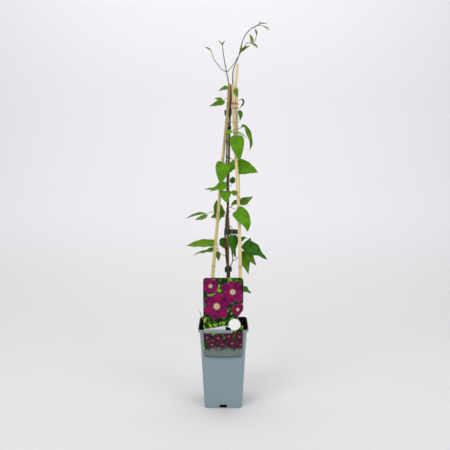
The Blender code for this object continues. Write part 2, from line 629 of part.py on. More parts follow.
def make_stems():
    bark = make_material("bark", BROWN, 0.85)
    route = stem_main_path()
    radii = [stem_main_radius(p.z) for p in route]
    add_solid("stem_main", tube(route, radii, 6), bark, smooth=True)
    second = smooth_path(STEM_SECOND_PATH, 44)
    add_solid("stem_second", tube(second, [STEM_SECOND_RADIUS] * 44, 5), bark, smooth=True)


def rod_at(name, height):
    """Centre and radius of a cane or stem at a height."""
    if name == "stem_main":
        spot = at_height(stem_main_path(), height)
        return spot.x, spot.y, stem_main_radius(height)
    if name == "stem_second":
        spot = at_height(smooth_path(STEM_SECOND_PATH, 200), height)
        return spot.x, spot.y, STEM_SECOND_RADIUS
    path = smooth_path(CANE_PATHS[name], 300)
    spot = at_height(path, height)
    return spot.x, spot.y, cane_radius(name, height / path[-1].z)


def loop_round(names, height, margin, count=20):
    """A taut loop round rods: in each direction, the point of the rod that reaches furthest."""
    rods = [rod_at(name, height) for name in names]
    loop = []
    for i in range(count):
        angle = 2 * math.pi * i / count
        dx, dy = math.cos(angle), math.sin(angle)
        x, y, r = max(rods, key=lambda rod: rod[0] * dx + rod[1] * dy + rod[2])
        loop.append(Vector((x + dx * (r + margin), y + dy * (r + margin), height)))
    return loop


def make_wire(name, names, height, radius, material):
    loop = loop_round(names, height, WIRE_MARGIN + radius)
    return add_solid(name, tube(loop, [radius] * len(loop), 5, closed=True), material, smooth=True)


def make_tape(name, material):
    """A band of tape: outer and inner wall, joined at both rims."""
    height, tall = TAPES[name]
    walls = []
    for level, extra in ((-0.5, TAPE_THICK), (0.5, TAPE_THICK), (0.5, 0), (-0.5, 0)):
        walls.append(loop_round(TIED, height + level * tall, TAPE_MARGIN + extra))
    size = len(walls[0])
    points = [p for wall in walls for p in wall]
    faces = []
    for wall in range(4):
        here, there = wall * size, (wall + 1) % 4 * size
        for i in range(size):
            j = (i + 1) % size
            faces.append((here + i, here + j, there + j))
            faces.append((here + i, there + j, there + i))
    return add_solid(name, (points, faces), material)


def strip(path, tall, thick):
    """A flat upright strip along a level path."""
    rings = []
    for spot, along in zip(path, tangents(path)):
        out = Vector((-along.y, along.x, 0)).normalized() * (thick / 2)
        up = Vector((0, 0, tall / 2))
        rings.append([spot - out - up, spot + out - up, spot + out + up, spot - out + up])
    return loft(rings)


def make_ties():
    pale = make_material("pale_wire", (0.62, 0.60, 0.50), 0.5)
    rubber = make_material("rubber_ring", (0.50, 0.25, 0.06), 0.6)
    material = make_material("tie_tape", (0.012, 0.03, 0.02), 0.45)
    make_wire("band_wire", BUNDLE, WIRE_HEIGHT, WIRE_RADIUS, pale)
    for name, height in RING_HEIGHTS.items():
        make_wire(name, ["cane_right", "cane_tall"], height, RING_RADIUS, rubber)
    tape = {name: make_tape(name, material) for name in TAPES}
    level = TAPES["tape_top"][0]
    tuck = [Vector((x, y, level)) for x, y in ((7.4, 5.6), (5.2, 5.7), (3.6, 4.6), (2.9, 2.2))]
    boolean(tape["tape_top"], [add_solid("tuck", strip(tuck, TAPE_TAIL, TAPE_THICK))], "UNION")
    level = TAPES["tape_right"][0]
    x, y, radius = rod_at("cane_middle", level)
    start = Vector((x + radius + 0.9, y, level))
    tail = [start, start + Vector((6, 0.3, -0.4)), start + Vector((13, -1.0, -1)),
            start + Vector((18.5, -3.2, -1.6))]
    boolean(tape["tape_right"], [add_solid("tail", strip(tail, TAPE_TAIL, TAPE_THICK))], "UNION")
    level = TAPES["tape_low"][0]
    tails = [[(6.2, -2.9), (5, -3.8), (3.2, -5.4)], [(13.4, 1.6), (16, 1.4), (18.8, 0.4)]]
    ends = [add_solid("end", strip([Vector((x, y, level)) for x, y in tail], TAPE_TAIL, TAPE_THICK))
            for tail in tails]
    boolean(tape["tape_low"], ends, "UNION")


def arc(centre, radius, first, last, steps):
    """Points of an arc in the label's plane, between two angles in degrees."""
    angles = [math.radians(first + (last - first) * i / steps) for i in range(steps + 1)]
    return [(centre[0] + radius * math.cos(a), centre[1] + radius * math.sin(a)) for a in angles]


def plate(outline, front, back):
    """An upright plate with an outline of (x, z) points, between two Y places."""
    return loft([[(x, front, z) for x, z in outline], [(x, back, z) for x, z in outline]])


def make_label():
    """A card with a slot: its front hangs before the collar and a tongue tucks behind the rim."""
    half, corner = LABEL_HALF, LABEL_CORNER
    high = LABEL_TOP - corner
    outline = LABEL_FOOT + [(half - 0.6, 180), (half - 0.8, 190.5), (39, 189.5)]
    outline += arc(BADGE_CENTRE, BADGE_RADIUS, -32, 62, 10)
    outline += [(31, 209), (half - 0.4, 225)]
    outline += arc((half - corner, high), corner, 0, 90, 4)
    outline += arc((corner - half, high), corner, 90, 180, 4)
    card = add_solid("label", plate(outline, LABEL_FRONT, LABEL_FRONT + LABEL_THICK),
                     make_material("label_card", (0.10, 0.16, 0.05), 0.35))
    cutter = add_solid("slot", plate(LABEL_SLOT, LABEL_FRONT - 2, LABEL_FRONT + 2))
    boolean(card, [cutter], "DIFFERENCE")
    lap = LABEL_FRONT + 0.75 * LABEL_THICK
    bend = COLLAR_WIDTH / 2 - 2.1
    thick = LABEL_THICK
    profile = [(lap, 196), (lap, 182.6), (-bend, 180.6), (-bend, TONGUE_TIP),
               (-bend + thick, TONGUE_TIP), (-bend + thick, 181), (lap + thick, 183),
               (lap + thick, 196)]
    tongue = loft([[(x, y, z) for y, z in profile] for x in (TONGUE_LEFT, TONGUE_RIGHT)])
    boolean(card, [add_solid("tongue", tongue)], "UNION")
    bend_flap(card.data)


def bend_flap(mesh):
    """Lean the part of the card below the collar in towards the pot."""
    hinge = FLAP_HINGE * MM
    work = bmesh.new()
    work.from_mesh(mesh)
    everything = list(work.verts) + list(work.edges) + list(work.faces)
    bmesh.ops.bisect_plane(work, geom=everything, plane_co=(0, 0, hinge), plane_no=(0, 0, 1))
    for vert in work.verts:
        if vert.co.z < hinge:
            vert.co.y += FLAP_LEAN * (hinge - vert.co.z)
    work.to_mesh(mesh)
    work.free()


def stem_side(stem, height, towards):
    """A point just clear of a stem, on the side that faces another point."""
    x, y, radius = rod_at(stem, height)
    if height >= STEM_TOP:
        return Vector((x, y, height + GAP))
    out = Vector((towards[0] - x, towards[1] - y, 0)).normalized()
    return Vector((x, y, height)) + out * (radius + 2 * GAP)


def make_foliage(name, spec, material):
    """Petioles and blades of one leaf or shoot, joined into one solid."""
    petioles, blades = spec
    solids = []
    for path, radius in petioles:
        if isinstance(path[0][0], str):
            path = [stem_side(*path[0], path[1])] + path[1:]
        count = len(path) + 4
        line = smooth_path(path, count)
        radii = [radius * (1 - 0.25 * i / (count - 1)) for i in range(count)]
        solids.append(add_solid(name + "_petiole", tube(line, radii, PETIOLE_SIDES), smooth=True))
    for shape in blades:
        solids.append(add_solid(name + "_blade", blade(*shape)))
    first = solids[0]
    first.name = name
    first.data.materials.append(material)
    return boolean(first, solids[1:], "UNION")


def main():
    clear_scene()
    make_pot()
    standing = [(CANE_PATHS[name], cane_radius(name, 0) + 0.1) for name in CANE_PATHS]
    standing.append((stem_main_path(), STEM_MAIN_FOOT))
    standing.append((STEM_SECOND_PATH, STEM_SECOND_RADIUS))
    standing.append((STALK_PATH, STALK_RADIUS))
    make_soil(standing)
    for name, colour in CANE_COLOURS.items():
        make_cane(name, make_material(name + "_bamboo", colour, 0.55))
    make_stems()
    make_ties()
    make_label()
    stalk = smooth_path(STALK_PATH, 8)
    add_solid("stalk", tube(stalk, [STALK_RADIUS] * 8, 5),
              make_material("dry_stalk", (0.16, 0.15, 0.08), 0.8), smooth=True)
    for name, (colour, *spec) in (LEAVES | SHOOTS).items():
        make_foliage(name, spec, make_material(name + "_green", colour, 0.45))


main()
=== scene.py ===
"""Looks of a potted clematis on a cane trellis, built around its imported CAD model.

The tables repeat the part's own paths, in millimetres. Each fine piece is made from the same
path, width and facing as the solid that it stands for, so it lies where that solid is.
"""

import math
import random

import bmesh
import bpy
import numpy as np
from mathutils import Matrix, Vector, noise


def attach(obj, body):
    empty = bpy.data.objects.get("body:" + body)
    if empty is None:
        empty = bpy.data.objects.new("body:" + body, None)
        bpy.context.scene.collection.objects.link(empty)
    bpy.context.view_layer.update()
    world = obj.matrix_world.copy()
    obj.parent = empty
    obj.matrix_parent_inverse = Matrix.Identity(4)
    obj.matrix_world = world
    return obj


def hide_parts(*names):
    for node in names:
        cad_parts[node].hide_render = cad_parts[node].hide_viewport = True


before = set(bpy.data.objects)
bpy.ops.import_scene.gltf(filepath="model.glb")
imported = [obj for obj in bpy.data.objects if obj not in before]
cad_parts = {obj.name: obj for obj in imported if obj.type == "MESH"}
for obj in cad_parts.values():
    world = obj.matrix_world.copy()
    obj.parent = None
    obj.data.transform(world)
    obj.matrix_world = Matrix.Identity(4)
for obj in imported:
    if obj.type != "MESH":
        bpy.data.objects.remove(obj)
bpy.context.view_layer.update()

MM = 0.001
GAP = 0.3
TURN = 6.28  # about a full turn, in radians

# Pot
POT_HEIGHT = 180.0
COLLAR_WIDTH = 110.0
COLLAR_HEIGHT = 7.0
BODY_TOP_WIDTH = 102.5
BASE_WIDTH = 83.0
TOP_CORNER = 12.0
BASE_CORNER = 8.0
WALL = 1.2
NOTCH_WIDTH = 18.5
NOTCH_HEIGHT = 8.2
NOTCH_SLOPE = 2.0
NOTCH_DEPTH = 5.0

# Soil
SOIL_TOP = 175.6
SOIL_BACK_RISE = 3.7
SOIL_MOUND = 2.0

# Canes: width across at the foot and at the top, and the distance between their nodes
CANE_FOOT = 9.0
CANE_TOP = 5.8
CANE_NODE_PITCH = 118.0
CANE_NODE_RISE = 0.45

CANE_PATHS = {
    "cane_left": [(-33.5, -6, 6), (-34.6, -6, 90), (-32.0, -6, 176), (-23, -5.5, 294),
        (-12.3, -5, 415), (-1, -4.2, 547), (7.6, -3.5, 630), (13.2, -2.5, 706)],
    "cane_right": [(23, -22, 6), (25.5, -23.5, 90), (27.5, -23, 180), (30.5, -22.4, 220),
        (34.8, -21, 258), (37.5, -19, 294), (34.4, -14.4, 408), (30.8, -10.5, 497),
        (27.4, -8.4, 547), (22, -4.6, 654), (20.2, -2.2, 706)],
    "cane_tall": [(26, 24, 6), (28, 25.5, 90), (29.5, 25.5, 180), (33, 24.5, 232), (38.4, 21, 294),
        (37.3, 18, 350), (33.3, 12, 496), (29.5, 3.5, 634), (28.4, 1.8, 672), (27.6, 1.6, 706),
        (31, 1, 748)],
    "cane_middle": [(9, 4, 6), (9.3, 4, 176), (10, 3, 301), (10, 2, 446), (12, 1.5, 548),
        (13.8, 3, 626), (15.5, 4.2, 680), (16.4, 4.6, 704)],
}
CANE_SCALE = {"cane_left": 1.0, "cane_right": 1.0, "cane_tall": 0.94, "cane_middle": 0.8}

# Woody stems: the main one winds round the middle cane, by an angle at each height
STEM_TOP = 704.0
STEM_MAIN_FOOT = 2.5
STEM_MAIN_TOP = 1.1
STEM_MAIN_STAND_OFF = 0.8
STEM_MAIN_TURNS = [(120, -75), (176, -75), (250, -60), (300, -95), (340, -130), (372, -175),
                   (400, -140), (450, -95), (500, -120), (560, -180), (610, -200), (650, -190),
                   (STEM_TOP, -178)]
STEM_SECOND_RADIUS = 1.1
STEM_SECOND_PATH = [(14.2, 9, 130), (14.2, 8, 176), (14.2, 6.7, 294), (16.3, 5, 309),
                    (21, -4, 324), (18, 3, 350), (13, 9, 400), (11, 9.2, 450), (12.5, 8.7, 548),
                    (14, 10, 626), (18, 10.7, 680), (20.5, 8.6, STEM_TOP)]

# Label
LABEL_THICK = 0.6
LABEL_FRONT = -COLLAR_WIDTH / 2 - GAP - LABEL_THICK
LABEL_HALF = 43.0
LABEL_TOP = 295.0
LABEL_CORNER = 7.0
LABEL_FOOT = [(-42, 125), (-38.5, 121.2), (-20, 119.6), (0, 119.2), (19, 119.6), (37.5, 121.2),
              (41, 125)]
BADGE_CENTRE = (24.0, 193.0)
BADGE_RADIUS = 13.2
TONGUE_LEFT = -40.0
TONGUE_RIGHT = 5.0
TONGUE_TIP = 177.6
# From the third point on, the slot's outline is its upper lip
LABEL_SLOT = [(-40.4, 173.6), (17, 173.6), (18.6, 178), (15, 185), (8, 188.6), (-2, 188),
              (-20, 184.5), (-40.4, 180.8)]
FLAP_HINGE = 170.0
FLAP_LEAN = 0.06

# Ties: the height of each, how tall each tape is, and what they hold
WIRE_HEIGHT = 626.0
WIRE_RADIUS = 0.6
WIRE_MARGIN = 0.6
RING_HEIGHTS = {"ring_upper": 664.0, "ring_lower": 655.0}
RING_RADIUS = 0.9
TAPES = {"tape_top": (646, 15), "tape_mid": (613, 7), "tape_right": (387, 12),
         "tape_low": (303, 13)}
TAPE_THICK = 0.8
TAPE_MARGIN = 0.7
TAPE_TAIL = 11
BUNDLE = ["cane_left", "cane_right", "cane_tall", "cane_middle", "stem_main", "stem_second"]
TIED = ["cane_middle", "stem_main"]

# Material slots of the leaves
GREEN, BRIGHT, DARK = "leaf", "leaf_bright", "leaf_dark"

# Outlines of a blade: half width at equal steps from the base to the tip, as a share of the widest
OVATE = (0.45, 0.88, 1.0, 0.93, 0.74, 0.5, 0.24, 0.0)
HEART = (0.62, 0.97, 1.0, 0.9, 0.72, 0.5, 0.25, 0.0)
LANCE = (0.12, 0.62, 0.92, 1.0, 0.84, 0.6, 0.3, 0.0)
ROUND = (0.4, 0.85, 1.0, 1.0, 0.9, 0.62, 0.0)
LOBED = (0.15, 0.75, 1.0, 0.5, 0.62, 0.3, 0.2, 0.0)
BUD = (0.3, 0.9, 1.0, 0.6, 0.0)

# Leaves. Each has its petioles, as paths with a radius, and its blades: the path of the rib,
# the width, the way the blade faces, and the outline. An optional last value tells how far the
# basal lobes reach back, as a share of the width. A petiole whose path starts with a stem's name
# and a height grows from there.
FRONT = (0, -1, 0.25)
UP_FRONT = (0.1, -0.8, 0.6)
SIDE = (0.75, -0.6, 0.1)

LEAVES = {
    "leaf_cap_left": (GREEN,
        [([("stem_main", 700), (7.8, 1, 700.5), (7.6, -3.5, 699), (8.5, -8.2, 696.5)], 0.7)],
        [([(11, -8, 697), (1, -9, 695.5), (-11, -10, 689)], 12, UP_FRONT,
            (0.5, 0.95, 1.0, 0.8, 0.58, 0.4, 0.2, 0.0))]),
    "leaf_top_left": (GREEN,
        [([("stem_main", 677), (6, 2.5, 676), (3, -4, 672), (0, -8, 668)], 0.7)],
        [([(4, -8, 667), (-8, -10.5, 665), (-31, -14, 657)], 13, FRONT,
            (0.3, 0.9, 1.0, 0.92, 0.7, 0.45, 0.22, 0.0)),
        ([(0, -8.4, 668), (-8, -9.5, 672.5), (-19, -11, 674)], 9, FRONT, LANCE)]),
    "leaf_top_right": (GREEN,
        [([("stem_second", 698), (26, 8, 697), (31.8, 4, 695), (32, -2, 693), (27.5, -7, 691.5)],
            0.7)],
        [([(25, -7, 695), (28, -6.5, 686), (31, -6, 676)], 10, FRONT, OVATE),
        ([(26.5, -7, 690), (28.5, -7, 694), (30.5, -7, 698)], 5, FRONT, LANCE)]),
    "leaf_curl": (DARK,
        [([("stem_second", 668), (25, 8.5, 670), (33.5, 4.5, 672), (36, -2, 673), (39, -5, 673.5)],
            0.9)],
        [([(37, -5.4, 673), (41.5, -4, 672.5), (43, -3, 666), (38, -2, 658), (34.5, -2, 654)], 6.5,
            SIDE, LANCE)]),
    "leaf_hang_right": (DARK,
        [([("stem_second", 646), (24, 8.5, 646.5), (33.4, 5.6, 649), (35.7, 0, 651),
            (35, -4.5, 649)], 0.7)],
        [([(34, -4.5, 650), (37.5, -6, 640), (35.5, -5, 627)], 9.5, FRONT, OVATE)]),
    "leaf_droop": (GREEN,
        [([("stem_main", 604), (9, -3, 604), (13, -9.5, 605), (20, -11.5, 607), (28, -12.5, 610.5),
            (33, -12, 610), (39, -12, 613)], 0.8)],
        [([(37, -12, 612), (43, -13, 616.5), (50, -14, 610), (56, -15, 594), (59.5, -15, 579),
            (56, -14, 562)], 13.5, (0.5, -0.75, 0.5), LANCE)]),
    "leaf_large_hang": (BRIGHT,
        [([("stem_main", 597), (9.3, -4, 597.5), (13, -11.5, 600), (20, -14, 603),
            (28.5, -16.8, 594)], 0.9),
        ([(20, -14, 603), (30, -15, 601.5), (38, -15, 599), (51, -15, 591)], 0.8)],
        [([(28.5, -16.5, 595), (29.5, -19.5, 580), (32, -20.5, 562), (36, -19, 541)], 31, FRONT,
            HEART, 0.1),
        ([(24, -14.4, 602.5), (37, -15.2, 600), (50, -15, 591.5)], 4, UP_FRONT, LANCE),
        ([(20.5, -14.1, 603), (12, -15, 603), (3.5, -14.5, 597)], 9, UP_FRONT, LANCE)]),
    "leaf_broad_left": (BRIGHT,
        [([("stem_main", 549), (7, -5, 546), (1.5, -10.3, 536)], 0.9)],
        [([(2, -10, 537), (-2, -13.5, 523), (-4, -15, 508), (-7, -17.5, 491)], 32, (0.1, -1, 0.25),
            HEART, 0.12)]),
    "leaf_broad_right": (BRIGHT,
        [([("stem_second", 549), (19, 5, 546), (25, 1.5, 540), (31, 0.5, 529)], 0.9)],
        [([(30, 0.4, 529), (42, -1, 528), (58, -4, 524), (76, -8, 517)], 33, (0.05, -1, 0.18),
            HEART, 0.16),
        ([(31, 0.4, 533), (26, -0.6, 536), (18.5, -3.2, 529), (12, -6.4, 515)], 18,
            (-0.2, -1, 0.1), (0.5, 0.9, 1.0, 1.0, 0.9, 0.66, 0.35, 0.0))]),
    "leaf_forked_left": (BRIGHT,
        [([("stem_main", 499), (4.5, -8, 497), (2.5, -11, 494), (-1, -13.5, 489)], 0.8)],
        [([(7, -12.5, 494), (-6, -15, 487), (-20, -16, 483), (-42, -17, 481)], 19, FRONT,
            (0.4, 0.95, 1.0, 0.6, 0.28, 0.24, 0.16, 0.0)),
        ([(-10, -15.5, 484), (-20, -17, 479.5), (-31, -18, 477)], 5, UP_FRONT, LANCE)]),
    "leaf_small_dark": (DARK,
        [([("stem_second", 486), (16.5, 5, 487), (18.6, 2, 491), (18.6, 1, 495)], 0.6)],
        [([(18.5, 1, 493), (20.5, 0, 501), (22, 1, 508)], 12, FRONT, ROUND)]),
    "leaf_centre": (BRIGHT,
        [([("stem_main", 486), (7, -9.5, 483), (4.5, -11, 476)], 0.8)],
        [([(5, -11, 477.5), (5.5, -12.5, 464), (8.5, -12, 450)], 23, FRONT, HEART, 0.14)]),
    "leaf_twine_right": (GREEN,
        [([("stem_second", 440), (17, 6, 442), (24, 1, 448), (34, -5.7, 457)], 0.8),
        ([(33, -5.2, 456.5), (40.5, -8.5, 456.5), (39.5, -17, 459), (32, -18.8, 465),
            (27, -17.5, 470)], 0.8)],
        [([(35, -6.2, 456.5), (44, -8, 454), (54, -12, 459), (65, -14, 465)], 18, FRONT, OVATE),
        ([(34, -6, 456.5), (26, -6.7, 452), (16, -8.5, 446)], 10, FRONT, LANCE),
        ([(28, -17.7, 469), (22, -18, 474), (13.5, -17, 474)], 12, FRONT, OVATE)]),
    "leaf_half_moon": (BRIGHT,
        [([("stem_main", 443), (18, -13, 441), (25, -18.5, 438), (31, -21, 434)], 0.9)],
        [([(28, -20.5, 435), (39, -24, 425), (49.5, -24, 409), (53, -22, 388)], 32, (0.1, -1, 0.3),
            HEART, 0.15)]),
    "leaf_behind_left": (GREEN,
        [([("stem_second", 424), (4, 8, 421), (-4, 6, 418)], 0.8),
        ([(-16, 5, 425), (-22, 2, 430), (-29, -2, 430), (-36, -4, 425)], 0.8)],
        [([(-2.5, 6, 418), (-8, 5, 428), (-12, 4.5, 442), (-15, 6, 457)], 24, (0.1, -1, -0.3),
            (0.45, 0.95, 1.0, 0.93, 0.85, 0.7, 0.4, 0.0)),
        ([(-35, -4, 426), (-48, -7, 428), (-66, -10, 424), (-84, -12, 416)], 7, UP_FRONT, LANCE),
        ([(-15.5, 4.8, 425), (-20, 3.6, 421), (-28, 2, 417)], 9, FRONT, OVATE),
        ([(-34, -3.6, 424.5), (-45, -6, 419), (-63, -9, 414)], 11, UP_FRONT, LANCE),
        ([(-9, 5, 423), (-12, 4.5, 414), (-9, 4, 406)], 13, (0.1, -1, 0.2), OVATE)]),
    "leaf_long_left": (GREEN,
        [([("stem_main", 333), (-4, -3, 337), (-11, -0.5, 342), (-11.5, 2, 352), (-14, 3.2, 361)],
            0.8)],
        [([(-12.5, 3.1, 359.5), (-30, 4.5, 360.5), (-52, 0, 360), (-83, -6, 356)], 19, UP_FRONT,
            (0.35, 0.88, 1.0, 1.0, 0.9, 0.68, 0.35, 0.0)),
        ([(-11.5, 1.4, 348.5), (-26, 3, 346), (-42, 0, 342.5), (-56, -4, 340), (-67, -6, 333)], 12,
            UP_FRONT, LOBED),
        ([(-12, -0.3, 345), (-11.5, 0, 334), (-10, -1, 321)], 11, FRONT, LANCE)]),
    "leaf_round_left": (DARK,
        [([("stem_second", 352), (15.5, 7.5, 353), (10, 9.4, 358), (5, 10, 360)], 0.7)],
        [([(8, 10, 358.5), (0, 9, 360), (-9, 8, 357)], 24, FRONT, ROUND)]),
    "leaf_shade_right": (DARK,
        [([("stem_second", 398), (18.5, 3, 397), (19.5, -3, 392), (18, -8.5, 379)], 0.8),
        ([(18.4, -7, 383), (21, -6, 382.5), (24, -5, 379)], 0.7)],
        [([(17.8, -8.5, 382), (19.5, -10, 364), (23, -10, 347), (27, -10, 329)], 17, FRONT,
            (0.3, 0.9, 1.0, 0.95, 0.7, 0.45, 0.3, 0.0)),
        ([(24, -5, 381), (27, -4, 366), (28.5, -4, 350)], 13, FRONT, OVATE)]),
    "leaf_maple_right": (DARK,
        [([("stem_second", 323), (30, -6, 328), (38, -7, 341), (41, -8, 356)], 0.9),
        ([(38, -7, 341), (40, -9, 358), (39, -9.5, 366)], 0.7),
        ([(38, -7, 341), (44, -8.5, 343), (51, -10, 341.5)], 0.7)],
        [([(40.6, -7.6, 355), (54, -11, 354), (74, -15, 344), (97, -19, 326.5)], 33, UP_FRONT,
            (0.42, 0.84, 1.0, 0.98, 0.6, 0.34, 0.2, 0.0)),
        ([(48.5, -10.5, 355), (55, -12, 364), (60, -13, 376)], 15, UP_FRONT, OVATE),
        ([(38, -9.4, 366), (44, -11, 374), (53, -12, 373.5)], 8.5, UP_FRONT, LANCE),
        ([(40.5, -7.5, 345), (46, -10, 330), (51, -12, 312), (55.5, -13, 293)], 21, FRONT,
            (0.45, 0.75, 0.9, 1.0, 0.85, 0.5, 0.25, 0.0)),
        ([(49, -9.5, 343), (60, -12, 330), (73, -14, 312)], 16, FRONT, OVATE)]),
    "leaf_low_right": (DARK,
        [([("stem_main", 233), (17, -4.6, 236), (23, -7, 246), (33, -8, 257)], 0.9)],
        [([(31.5, -7.7, 256), (44, -9, 261), (62, -13, 251)], 17, UP_FRONT,
            (0.4, 0.9, 1.0, 0.75, 0.85, 0.45, 0.3, 0.0))]),
}

# The soft shoots above the canes, written as the leaves are
SHOOTS = {
    "shoot_left": ([([("stem_main", STEM_TOP), (9.6, 4.6, 719), (7, 4, 732), (1, 3, 764),
        (-2, 2, 788)], 1.25),
        ([(7, 4, 732), (-3, 2, 737), (-11, 0, 746), (-20, -2, 758), (-26, -4, 776)], 0.88),
        ([(7, 4, 731), (15, 5, 739), (24, 5, 751), (30.5, 5.4, 763)], 0.88)],
        [([(-1.8, 2, 786.5), (-6, 0, 793), (-12, -1, 796)], 3, UP_FRONT, BUD),
        ([(-2.2, 2, 786.5), (0.5, 3, 793), (5, 4, 797.5)], 3, UP_FRONT, BUD),
        ([(-25.5, -4, 774.5), (-32, -6, 779), (-41, -8, 781)], 4.6, UP_FRONT, LANCE)]),
    "shoot_right": ([([("stem_second", STEM_TOP), (20.8, 8, 731), (24, 6.4, 744), (29.5, 4, 756),
        (34, 2, 768), (37, 1, 781), (41, 0, 795), (48, -2, 809), (57, -4, 818), (65, -5, 823),
        (78, -7, 829.5)], 1.25),
        ([(65, -5, 822.5), (75, -8, 826), (86, -10, 823)], 0.82),
        ([(34, 2, 768), (38.5, -1, 773), (45, -4, 783), (52, -5, 791), (61, -6, 788.5),
            (67, -7, 795), (71, -8, 807)], 0.88)],
        [([(76.5, -7, 829), (84, -8, 830), (93, -9, 829)], 4, UP_FRONT, LANCE),
        ([(76.5, -7, 829), (77.5, -7, 832), (77.5, -7, 835)], 2.6, FRONT, BUD),
        ([(84.5, -10, 823.5), (91, -11, 820), (98, -12, 815)], 4.5, UP_FRONT, LANCE),
        ([(71, -8, 805.5), (69.5, -8, 813), (66, -7, 820)], 4.5, FRONT, LANCE),
        ([(61, -6, 788), (60, -7, 799), (55, -8, 809)], 7, FRONT, LANCE),
        ([(61, -6, 788.5), (67, -8, 785.5), (74, -9, 778)], 7, UP_FRONT, LANCE),
        ([(36, 0.8, 771), (38, -1, 780), (40, -1, 788)], 5, FRONT, LANCE),
        ([(38, -1, 773), (46, -3, 780), (58, -5, 785)], 8, UP_FRONT, LANCE)]),
}

STALK_PATH = [(-45, 26, 166), (-47, 27, 178), (-51, 28, 190), (-55, 29, 201)]
STALK_RADIUS = 0.85


def spline(before, start, end, after, t):
    """A smooth way from start to end that heeds the knots on both sides."""
    return 0.5 * (2 * start + (end - before) * t
                  + (2 * before - 5 * start + 4 * end - after) * t * t
                  + (3 * start - before - 3 * end + after) * t ** 3)


def smooth_path(points, count, span_steps=24):
    """Read a smooth curve through the points at count places, evenly spaced along it."""
    knots = [Vector(p) for p in points]
    if len(knots) < 3:
        return [knots[0].lerp(knots[-1], i / (count - 1)) for i in range(count)]
    ends = [2 * knots[0] - knots[1]] + knots + [2 * knots[-1] - knots[-2]]
    fine = [spline(*four, step / span_steps) for four in zip(ends, ends[1:], ends[2:], ends[3:])
            for step in range(span_steps)]
    fine.append(knots[-1])
    lengths = [0.0]
    for a, b in zip(fine, fine[1:]):
        lengths.append(lengths[-1] + (b - a).length)
    result = []
    place = 0
    for i in range(count):
        target = lengths[-1] * i / (count - 1)
        while place < len(fine) - 2 and lengths[place + 1] < target:
            place += 1
        span = lengths[place + 1] - lengths[place]
        result.append(fine[place].lerp(fine[place + 1], (target - lengths[place]) / span))
    return result


def smooth_values(values, share):
    """Read a smooth curve through evenly spaced values at a share of its length."""
    place = min(max(share, 0.0), 1.0) * (len(values) - 1)
    i = min(int(place), len(values) - 2)
    start, end = values[i], values[i + 1]
    before = values[i - 1] if i else start
    after = values[i + 2] if i + 2 < len(values) else end
    return spline(before, start, end, after, place - i)


def path_length(path):
    return sum((b - a).length for a, b in zip(path, path[1:]))


def tangents(path, closed=False):
    """The way that a path runs at each of its points."""
    result = []
    for i in range(len(path)):
        ahead = path[(i + 1) % len(path) if closed else min(i + 1, len(path) - 1)]
        behind = path[i - 1 if closed else max(i - 1, 0)]
        result.append((ahead - behind).normalized())
    return result


def strip(first, second, count, closed=False, step=1):
    """Four-sided faces between two rows of points, given by their first points."""
    faces = []
    for i in range(count if closed else count - 1):
        here, after = i * step, (i + 1) % count * step
        faces.append((first + here, first + after, second + after, second + here))
    return faces


def two_sided(rows, count, closed=False):
    """Faces of a sheet of two sides, each a grid of points, that are joined along the rims."""
    under = rows * count
    faces = []
    for here in range(0, under - count, count):
        there = here + count
        faces += strip(here, there, count, closed)
        faces += strip(under + there, under + here, count, closed)
    for row in (0, under - count):
        faces += strip(row, under + row, count, closed)
    if not closed:
        for column in (0, count - 1):
            faces += strip(column, under + column, rows, step=count)
    return faces


def new_object(name, data):
    thing = bpy.data.objects.new(name, data)
    bpy.context.scene.collection.objects.link(thing)
    return thing


